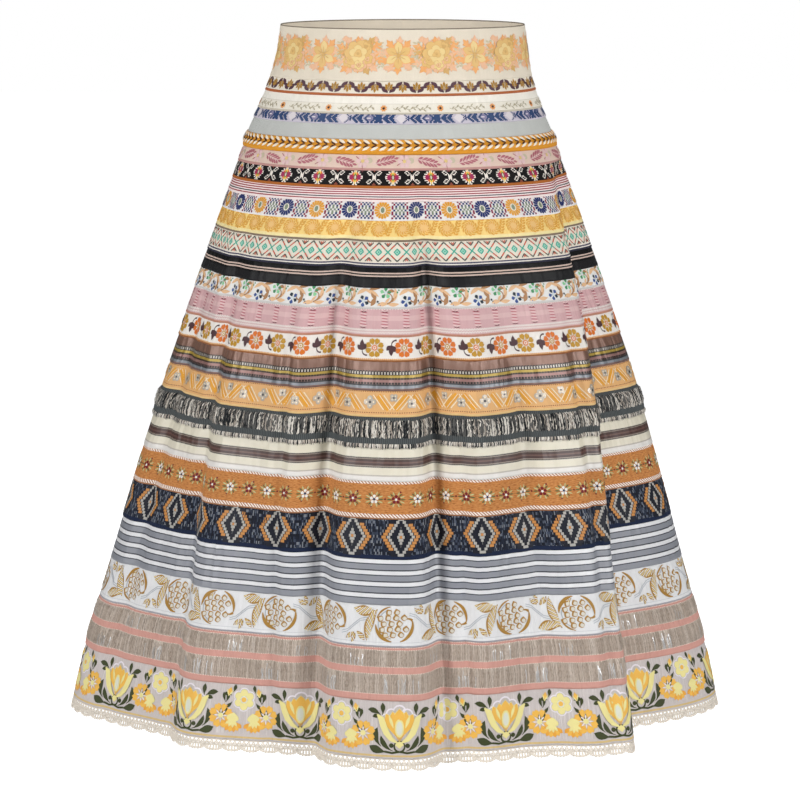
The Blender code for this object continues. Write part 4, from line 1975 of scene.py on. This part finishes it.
@dataclass
class GoldScroll(Ribbon):
    """Clusters of gold drops in open scrolls, with striped gold leaves, on an icy damask."""

    node: str = "ribbon_23_gold_scroll"
    ground: Ground = Ground(
        (
            (0.0, "#BFC1C4"), (0.8, "#E4E4E5"), (35.4, "#CDCED1"), (36.0, "#E6E6E7"),
            (38.5, "#A6A6AC"),
        ),
        Weave.SATIN, 0.45, relief=0.08,
    )
    motif: Motif = Motif(134.0, -6.0)
    gather: float = 0.7

    GOLD = Yarn("#AA8038")
    LIGHT = Yarn("#F4E3AC")
    STEM = Yarn("#B4B9C0")
    WHITE = Yarn("#F1F2F1")
    PEARL = Yarn("#DDD8CC")

    # Rows of drops in a cluster: v, how many, and how far they are moved along.
    CLUSTER = ((-11.2, 2, 1.6), (-6.0, 4, 0.4), (-0.6, 3, -0.6), (4.6, 4, 0.8), (9.8, 3, -0.4))
    # Striped leaves: u and v from the cluster's middle, heading, length, width, bend.
    LEAVES = (
        (-15.6, -13.5, 230, 32.0, 8.4, 44),
        (-18.0, -12.0, 190, 21.0, 10.0, -30),
        (27.5, -9.0, 150, 10.0, 4.4, -16),
        (28.5, -10.0, 106, 9.0, 3.8, 10),
        (30.5, -8.0, 40, 11.0, 5.2, 14),
    )
    STRIPE = 2.2  # millimetres from one stripe of a leaf to the next
    SLANT = 46  # degrees from the leaf's run to its stripes
    # Arcs of the scroll: reach, first and last turn in degrees, half width.
    ARCS = ((17.0, 160, 100, 0.7), (17.0, -178, -96, 1.6), (18.0, -70, 12, 1.4))

    def draw(self, art: Art) -> None:
        """Draws two clusters, one in a scroll that opens down and one that opens up."""
        for start, side in ((0.0, 1), (self.step / 2, -1)):
            centre = (start, 18.6)
            self.cluster(art, centre, side)
            for reach, first, last, thick in self.ARCS:
                turns = np.linspace(first, last, 12)
                ring = [polar(centre, reach, side * turn, 0.96) for turn in turns]
                shares = (np.arange(12) + 0.5) / 12
                widths = [0.15 + thick * math.sin(math.pi * share) for share in shares]
                art.strip(ring, widths, self.GOLD, LIFT + 0.1)
            pale = [polar(centre, 14.6, side * turn, 0.96) for turn in range(196, 107, -10)]
            art.strip(pale, [0.5] * len(pale), self.STEM)
            hook = polar(centre, 18.0, side * 12, 0.96)
            art.curl(hook, side * 128, 6.0, side * 60, 2.6, self.GOLD)
            self.striped(art, polar(centre, 13.0, side * -128), side * -38, 6.5, 2.6, 10)
            for u, v, angle, length, width, bend in self.LEAVES:
                root = (start + u, centre[1] + side * v)
                self.striped(art, root, side * angle, length, width, side * bend)
            for shift in (0.0, 2.0):
                path = ((15.0, -10.5), (21.0, -8.5), (27.0, -3.0), (33.0, 2.0), (44.0, 4.6))
                stem = [(start + u, centre[1] + side * (v + shift)) for u, v in path]
                art.line(stem, 0.7, self.STEM)

    def cluster(self, art: Art, centre: Point, side: int) -> None:
        """Hangs rows of outlined drops together."""
        for v, count, shift in self.CLUSTER:
            for i in range(count):
                u = (i - (count - 1) / 2) * 6.7 + shift + v * 0.1
                spot = (centre[0] + u, centre[1] + side * v + 2.6)
                lean = 118 - u * 3
                art.leaf(spot, lean, 6.2, 6.4, self.GOLD, belly=0.42, steps=5)
                inner = polar(spot, 0.7, lean - 40)
                art.leaf(inner, lean, 3.9, 4.4, self.PEARL, belly=0.45, steps=4, lift=LIFT + 0.2)

    def striped(
        self, art: Art, root: Point, angle: float, length: float, width: float, bend: float
    ) -> None:
        """A leaf woven in slanted stripes of gold."""
        steps = max(round(length / self.STRIPE), 3)
        art.leaf(root, angle, length, width, self.GOLD, bend, steps=steps)
        headings = [angle + bend * i / steps for i in range(1, steps)]
        spine = walk(root, headings, length / steps)[1:]
        for i, (spot, heading) in enumerate(zip(spine, headings), 1):
            half = width / 2 * math.sin(math.pi * i / steps) * 1.1
            ends = [polar(spot, reach, heading + self.SLANT) for reach in (-half, half)]
            art.line(ends, 0.8, self.LIGHT if i % 2 else self.WHITE, LIFT + 0.3)


@dataclass
class LinenLoops(Ribbon):
    """Two bands of loose linen threads between dusty-pink tapes, with a few silver strands."""

    node: str = "ribbon_24_linen_loops"
    ground: Ground = Ground(
        (
            (0.0, "#CD978B"), (3.6, "#998973"), (19.2, "#D09B8F"), (25.6, "#998973"),
            (44.4, "#D09B8F"),
        ),
        Weave.GROSGRAIN, 0.85, relief=0.12,
        flecks=tuple(
            Fleck(top, foot, 0.9, 4.6, True, ("#9F9082", "#BEAE9E", "#D3C5B8", "#AD9D8E"))
            for top, foot in ((4.2, 18.8), (26.2, 43.8))
        ),
        dashes=tuple(
            Dash(start, start + 0.9, 1.7, "#F3E2D6", 0.5) for start in (1.0, 3.4, 18.6, 25.4, 43.9)
        ),
    )
    motif: Motif = Motif(210.0)
    raised: float = 1.2
    gather: float = 0.8

    THREADS = tuple(Yarn(hue, COTTON) for hue in ("#C3B4A6", "#DACEC3", "#A6978A", "#B6A698"))
    SILVER = Yarn("#E2E6EA", METAL)

    def draw(self, art: Art) -> None:
        """Lays a stretch of loose threads in each band."""
        chance = art.chance
        for top, foot in ((4.0, 19.0), (26.0, 44.0)):
            for u in np.arange(0.0, self.step, 1.05):
                silver = math.sin(u * 0.09 + top) > 0.55 and chance.random() > 0.66
                hue = self.SILVER if silver else chance.choice(self.THREADS)
                start = top + chance.uniform(2.0, 8.0) if silver else top
                rows = np.linspace(start, foot, 6)
                spine = [(u + chance.uniform(-0.45, 0.45), v) for v in rows]
                lifts = [0.2, *[chance.uniform(0.3, 0.95) for _ in range(4)], 0.2]
                art.strip(spine, [0.24] * 6, hue, lifts)


@dataclass
class Tulip(Ribbon):
    """Tulips between round blossoms, bells and six-petalled flowers, on a pale linen stripe."""

    node: str = "ribbon_25_tulip"
    ground: Ground = Ground(
        (
            (0.0, "#CDC4C1"), (46.8, "#DDC58E"), (48.0, "#CDC4C1"), (51.2, "#D8BC82"),
            (53.2, "#CDC4C1"),
        ),
        flecks=(Fleck(0.2, 49.0, 0.9, 60.0, True, ("#BFB5B2", "#CFC6C4", "#C7BEBB", "#D7CFCC")),),
        relief=0.1,
    )
    motif: Motif = Motif(117.0)
    gather: float = 0.8
    gather_length: float = 16.0

    OLIVE = Yarn("#3F4524")
    ORANGE = Yarn("#F5BE55")
    AMBER = Yarn("#F0AB43")
    YELLOW = Yarn("#F2E69C")
    HALO = Yarn("#EFE8EE")
    SAGE = Yarn("#E2E4D2")
    LINEN = Yarn("#C9C0BD")

    # The halo's rounds behind a tulip: (u, v, radius).
    CROWN = (
        (0.0, 10.6, 6.6), (-7.6, 13.0, 5.6), (7.6, 13.0, 5.6), (-13.4, 16.6, 4.2),
        (13.4, 16.6, 4.2),
    )
    # Its inner petals: (heading, length, width, lift over the outermost).
    TULIP_PETALS = (
        (116, 29.0, 9.0, 0.1), (64, 29.0, 9.0, 0.1), (103, 29.0, 9.5, 0.26),
        (77, 29.0, 9.5, 0.26), (90, 31.0, 11.0, 0.44),
    )
    # Its long outer petal on the right: (u, v, half width) down the middle.
    HORN = (
        (2.0, 39.6, 0.8), (7.6, 36.4, 2.2), (12.2, 30.6, 2.9), (15.2, 23.6, 3.1),
        (17.2, 17.4, 2.9), (21.2, 13.6, 0.6),
    )
    # Olive leaves of a tulip's right side: (u, v, heading, length, width, bend).
    TULIP_LEAVES = (
        (12.0, 48.6, 4, 17.5, 7.6, 26),
        (6.0, 47.6, 18, 19.5, 4.8, 66),
        (17.0, 43.6, 36, 20.0, 5.4, 84),
        (16.0, 14.0, 96, 11.5, 4.6, -14),
        (18.0, 14.0, 46, 13.5, 5.2, -52),
        (17.0, 15.6, 22, 9.0, 4.2, -50),
    )
    # Olive leaves beside a six-petalled flower: the same, from its middle.
    SPRAY_LEAVES = (
        (11.5, 9.0, 118, 8.0, 3.6, -30),
        (12.5, 12.0, 32, 8.5, 4.0, -50),
        (12.0, 18.0, 300, 8.5, 3.4, 30),
        (20.5, 33.0, 122, 10.5, 3.4, -20),
        (20.5, 33.0, 62, 8.5, 3.4, 24),
    )

    def draw(self, art: Art) -> None:
        """Draws a tulip, the flowers at its sides and the group half a repeat away."""
        self.tulip(art)
        half = self.step / 2
        for side in (-1, 1):
            self.blossom(art, (side * 34.8, 32.0))
            self.bud(art, (side * 39.0, 19.0), side)
            self.bell(art, (half + side * 10.5, 35.5), side)
            self.leaves(art, (half, 0.0), side, self.SPRAY_LEAVES)
        self.six_petals(art, (half, 15.5))

    def leaves(self, art: Art, centre: Point, side: int, table: tuple) -> None:
        """Olive leaves from a table for the right side, or their mirror image."""
        for u, v, angle, length, width, bend in table:
            root = (centre[0] + side * u, centre[1] + v)
            art.leaf(root, mirrored(angle, side), length, width, self.OLIVE, side * bend, 0.62)

    def tulip(self, art: Art) -> None:
        """The open tulip with its leaves, alike on both sides."""
        for thin, hue in ((0.0, self.HALO), (1.5, self.LINEN)):
            for u, v, radius in self.CROWN:
                art.disc((u, v), radius - thin, hue, lift=LIFT - 0.1 + thin / 15, sides=14)
        foot = (0.0, 39.0)
        for lean, length, width, lift in self.TULIP_PETALS:
            art.leaf(foot, lean, length, width, self.ORANGE, 0, 0.7, 11, LIFT + lift, self.YELLOW)
        art.disc((0, 26.0), 4.4, self.YELLOW, 2.0, lift=LIFT + 0.7, sides=14)
        art.disc((0, 26.0), 3.0, self.SAGE, 2.2, lift=LIFT + 0.85, sides=12)
        art.disc((0, 41.5), 4.2, self.YELLOW, 0.85, lift=LIFT + 0.6, sides=4)
        for side in (-1, 1):
            art.leaf((side * 5.6, 26.0), 90 - side * 20, 13.5, 3.0, self.YELLOW, lift=LIFT + 0.6)
            spine = [(side * u, v) for u, v, _ in self.HORN]
            widths = [width for _, _, width in self.HORN]
            art.strip(spine, widths, self.YELLOW, LIFT + 0.65, crown=0.2)
            art.curl((side * 0.4, 48.4), mirrored(0, side), 15.0, side * 165, 2.2, self.OLIVE)
            art.disc((side * 7.6, 42.4), 2.3, self.OLIVE, sides=8)
            art.line([(0, 48.0), (side * 7.0, 49.4), (side * 14.0, 48.2)], 2.0, self.OLIVE)
            self.leaves(art, (0.0, 0.0), side, self.TULIP_LEAVES)

    def blossom(self, art: Art, centre: Point) -> None:
        """A round orange blossom of eight notched petals."""
        art.blossom(centre, 3.4, 0.7, 8.8, 4.9, self.ORANGE, belly=0.66)
        art.petals(centre, 2.2, range(45, 405, 45), 4.4, 1.5, self.HALO, steps=3, lift=LIFT + 0.16)
        art.disc(centre, 2.8, self.YELLOW, lift=LIFT + 0.2, sides=10)

    def six_petals(self, art: Art, centre: Point) -> None:
        """A pale yellow flower of six round petals inside a white halo."""
        for i in range(6):
            spot = polar(centre, 6.6, 30 + i * 60)
            art.disc(spot, 5.2, self.HALO, lift=LIFT - 0.1, sides=12)
            art.disc(spot, 4.1, self.LINEN, lift=LIFT + 0.04, sides=12)
            art.disc(spot, 3.7, self.YELLOW, lift=LIFT + 0.14, sides=10)
        art.disc(centre, 3.6, self.SAGE, lift=LIFT + 0.2, sides=10)
        art.disc(centre, 2.5, self.ORANGE, lift=LIFT + 0.3, sides=8)

    def bell(self, art: Art, centre: Point, side: int) -> None:
        """A hanging bell, yellow above and orange at its ruffled rim."""
        down = -90 + side * 10
        for i in range(7):
            angle = down - 60 + i * 20
            hue = self.ORANGE if i % 2 else self.AMBER
            art.leaf(polar(centre, 1.5, angle), angle, 11.0, 4.6, hue, belly=0.72, steps=5)
        art.leaf(polar(centre, 3.5, down), down + 180, 10.5, 12.5, self.YELLOW, lift=LIFT + 0.2)
        form = {"belly": 0.6, "steps": 4, "lift": LIFT + 0.3}
        art.petals(centre, 0.0, range(down - 48, down + 49, 32), 8.0, 3.0, self.YELLOW, **form)

    def bud(self, art: Art, foot: Point, side: int) -> None:
        """A small orange bud over two olive leaves in a V."""
        for lean, length in ((-1, 10.5), (1, 9.5)):
            heading = 90 - side * lean * 30
            art.leaf(foot, heading, length, 3.3, self.OLIVE, side * lean * 30, 0.66, 5)
        bud = (foot[0] + side * 2.4, foot[1] - 6.5)
        art.leaf(bud, 90 - side * 12, 8.6, 4.4, self.ORANGE, steps=4)
        for lean in (-26, 26):
            art.leaf(bud, 90 - side * 12 + lean, 7.0, 1.4, self.YELLOW, steps=3, lift=LIFT + 0.15)


@dataclass
class Lace(Ribbon):
    """A crochet lace edging of thick cotton thread, sewn under the hem."""

    node: str = "lace_front"
    ground: Ground = Ground(((0.0, "#EBE1D1"),))
    motif: Motif = Motif(18.5, 2.0)
    gather: float = 0.5

    THREAD = Yarn("#F2E8DA", COTTON, 0.7)
    TEETH = 4  # zigzags in one scallop
    PICOTS = 9

    def draw(self, art: Art) -> None:
        """Crochets one scallop: header, zigzag, band, fan and picots."""
        half = self.step / 2
        for v, width in ((1.1, 2.3), (6.6, 1.7)):
            art.line([(-half, v), (half, v)], width, self.THREAD)
        tooth = self.step / self.TEETH
        for i in range(self.TEETH):
            left = -half + i * tooth
            zigzag = [(left, 6.4), (left + tooth / 2, 1.8), (left + tooth, 6.4)]
            art.line(zigzag, 1.6, self.THREAD, LIFT + 0.2)
            art.disc((left + tooth / 2, 4.9), 0.8, self.THREAD, sides=6)
        turns = np.linspace(math.pi, 0.0, 13)
        arc = [(half * math.cos(t), 7.4 + 3.9 * math.sin(t)) for t in turns]
        art.strip(arc, [0.95] * 13, self.THREAD, LIFT + 0.1)
        for i in range(self.PICOTS):
            turn = math.pi * (i + 0.5) / self.PICOTS
            top = (half * 0.86 * math.cos(turn), 6.8)
            foot = (half * 0.98 * math.cos(turn), 7.4 + 3.9 * math.sin(turn))
            art.line([top, foot], 1.7, self.THREAD)
            art.disc((foot[0] * 1.02, foot[1] + 0.8), 0.95, self.THREAD, sides=6)

    def build(self) -> None:
        """Makes the lace, which stands for both halves of the frame's edging."""
        lace = self.figures()
        lace.name = "lace_edging"
        self.thicken(lace)
        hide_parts("lace_front", "lace_back")
        log.info("%s: %d faces", lace.name, len(lace.data.polygons))


LONG_PUCKERS = (0.09, 0.02)  # puckers in a millimetre of a satin, along and down the ribbon

# Its first stripe, 0.6 millimetres of darker grey along the upper edge, is painted shadow of the
# seam under the ribbon above.
GREY_TWILL = Ground(
    ((0.0, "#979C9E"), (0.6, "#CDCFCB")), Weave.TWILL, 0.8, relief=0.2, pucker=0.8
)

RED_STRIPE = Ground(
    tuple(
        stop
        for i in range(6)
        for stop in ((i * 2.1, "#2A2A33" if i == 4 else "#9A2A36"), (i * 2.1 + 1.0, "#F6E6E3"))
    ),
    roughness=0.6, relief=0.04,
)

BLACK_SATIN = Ground(
    (
        (0.0, "#09090A"), (5.6, "#D4BCAF"), (6.9, "#0B0B0C"), (8.1, "#D4BCAF"), (9.4, "#09090A"),
        (11.4, "#1C1C1E"),
    ),
    Weave.SATIN, 0.42, gloss=0.2, pucker=3.0, buckle=LONG_PUCKERS,
)

BRONZE_STRIPE = Ground(
    (
        (0.0, "#A8763A"), (1.2, "#815F50"), (9.4, "#17110F"), (10.6, "#BDB7AE"), (13.0, "#2A1A12"),
        (13.6, "#B0953F"), (16.0, "#5A4430"), (17.6, "#96706A"), (20.2, "#7A5C56"),
        (22.0, "#303236"), (23.4, "#868A90"), (25.8, "#7E615A"),
    ),
    Weave.SATIN, 0.34, metallic=0.25, gloss=0.7, pucker=4.5, buckle=LONG_PUCKERS,
    dashes=(
        Dash(0.0, 1.2, 1.8, "#E3BE86", 0.4),
        Dash(9.4, 10.6, 2.9, "#6E544C", 0.3),
        Dash(10.6, 13.0, 2.9, "#17110F", 0.5),
        Dash(16.0, 17.6, 2.9, "#17110F", 0.65),
        Dash(20.2, 22.0, 2.9, "#17110F", 0.65),
    ),
)

# The lighter brown from 13.4 to 14.8 millimetres down, in the middle of the brown stripe, is
# painted sheen of the satin.
CREAM_SATIN = Ground(
    (
        (0.0, "#DFD8C4"), (9.4, "#35302B"), (10.4, "#94877B"), (11.2, "#452C27"),
        (13.4, "#684A42"), (14.8, "#452C27"), (17.0, "#94877B"), (17.8, "#35302B"),
        (18.8, "#E2DBC8"), (25.6, "#BEB5AA"), (26.8, "#E6E2DD"),
    ),
    Weave.SATIN, 0.36, gloss=0.7, pucker=3.0, buckle=LONG_PUCKERS,
    dashes=(Dash(9.4, 10.4, 1.7, "#7A736A", 0.3), Dash(17.8, 18.8, 1.7, "#7A736A", 0.3)),
)

GREY_STRIPE = Ground(
    tuple(
        stop
        for i in range(4)
        for stop in (
            (i * 10.6, "#262A36"),
            (i * 10.6 + 1.2, "#E4E4E6"),
            (i * 10.6 + 4.8, "#2A2F3D"),
            (i * 10.6 + 5.8, "#8B8E96"),
        )
    ),
    Weave.SATIN, 0.36, gloss=0.7, pucker=2.2, buckle=LONG_PUCKERS,
)


def ribbons() -> list[Ribbon]:
    """Every tier of the skirt, from the waist down.

    Returns:
        The tiers, in order.
    """
    return [
        Waistband(),
        Vine(),
        FlowerDots(),
        BlueLozenge(),
        Ribbon("ribbon_04_grey_twill", GREY_TWILL, gather=0.2),
        Braid(),
        PinkLeaf(),
        Rosette(),
        Ribbon("ribbon_08_red_stripe", RED_STRIPE, gather=0.25),
        Sunflowers(),
        YellowLeaf(),
        Lattice(),
        Ribbon("ribbon_12_black_satin", BLACK_SATIN, gather=0.45),
        Scroll(),
        LadderLace(),
        OrangeBlossom(),
        Ribbon("ribbon_16_bronze_stripe", BRONZE_STRIPE, gather=0.6),
        PeachZigzag(),
        TweedTuft(),
        Ribbon("ribbon_19_cream_satin", CREAM_SATIN, gather=0.75, gather_length=9.0),
        OrangeSprig(),
        NavyIkat(),
        Ribbon("ribbon_22_grey_stripe", GREY_STRIPE, gather=0.75),
        GoldScroll(),
        LinenLoops(),
        Tulip(),
        Lace(),
    ]


# --- The studio ---


def add_camera() -> None:
    """Stands the camera in front of the skirt, a little above its waist and looking down."""
    data = bpy.data.cameras.new("camera")
    data.sensor_width, data.lens, data.clip_end = 36.0, 138.2, 60.0
    camera = add_object("camera", data)
    camera.location = (-0.0025, -3.0, 0.161)
    camera.rotation_euler = (math.radians(90 - 10.06), 0.0, 0.0)
    bpy.context.scene.camera = camera


SKIRT_MIDDLE = (0.0, 0.0, -0.35)


@dataclass(frozen=True)
class SoftBox:
    """A large soft lamp, turned to the skirt's middle."""

    name: str
    place: tuple[float, float, float]
    size: tuple[float, float]
    power: float

    def build(self) -> None:
        """Places the lamp."""
        data = bpy.data.lights.new(self.name, "AREA")
        data.shape = "RECTANGLE"
        data.size, data.size_y = self.size
        data.energy = self.power
        lamp = add_object(self.name, data)
        lamp.location = self.place
        aim = Vector(SKIRT_MIDDLE) - Vector(self.place)
        lamp.rotation_euler = aim.to_track_quat("-Z", "Y").to_euler()


@dataclass
class Studio:
    """A plain pale floor in a bright soft studio."""

    floor_drop: float = 1.13
    floor_half: float = 14.0
    floor_glow: float = 0.96
    world_light: float = 0.08
    lamps: tuple[SoftBox, ...] = (
        SoftBox("front", (0.0, -3.3, 0.9), (0.8, 0.8), 15.0),
        SoftBox("right_key", (2.7, -2.0, 0.7), (0.8, 1.4), 68.0),
        SoftBox("left_key", (-2.7, -2.0, 0.7), (0.8, 1.4), 68.0),
        SoftBox("back_fill", (0.0, 3.2, 1.2), (2.4, 1.8), 42.0),
    )

    def build(self) -> None:
        """Makes the floor, the world and the lamps."""
        scene = bpy.context.scene
        scene.view_settings.view_transform = "Standard"
        scene.view_settings.look = "None"
        world = bpy.data.worlds.new("studio")
        world.use_nodes = True
        tree = world.node_tree
        seen = add_node(tree, "ShaderNodeLightPath", out="Is Camera Ray")
        level = add_node(tree, "ShaderNodeMix", {0: seen, 2: self.world_light, 3: 1.0})
        tree.links.new(level, tree.nodes["Background"].inputs["Strength"])
        tree.nodes["Background"].inputs["Color"].default_value = (1.0, 1.0, 1.0, 1.0)
        scene.world = world
        for lamp in self.lamps:
            lamp.build()
        self._floor()

    def _floor(self) -> None:
        """Makes the floor, a sheet of matt white acrylic lit a little from below."""
        plane = bmesh.new()
        bmesh.ops.create_grid(plane, x_segments=1, y_segments=1, size=self.floor_half)
        bmesh.ops.translate(plane, verts=plane.verts, vec=(0, 0, -self.floor_drop))
        mesh = bpy.data.meshes.new("floor")
        plane.to_mesh(mesh)
        plane.free()
        floor = add_object("floor", mesh)
        acrylic = bpy.data.materials.new("matt_white_acrylic")
        acrylic.use_nodes = True
        tree = acrylic.node_tree
        shader = tree.nodes["Principled BSDF"]
        shader.inputs["Base Color"].default_value = linear("#F2F2F2")
        shader.inputs["Roughness"].default_value = 0.9
        shader.inputs["Emission Color"].default_value = (1.0, 1.0, 1.0, 1.0)
        seen = add_node(tree, "ShaderNodeLightPath", out="Is Camera Ray")
        glow = add_node(tree, "ShaderNodeMath", [seen, self.floor_glow], operation="MULTIPLY")
        tree.links.new(glow, shader.inputs["Emission Strength"])
        mesh.materials.append(acrylic)


def main() -> None:
    """Builds the studio, the camera and the skirt."""
    logging.basicConfig(level=logging.INFO, format="%(name)s: %(message)s")
    Studio().build()
    add_camera()
    for ribbon in ribbons():
        ribbon.build()


if __name__ == "__main__":
    main()
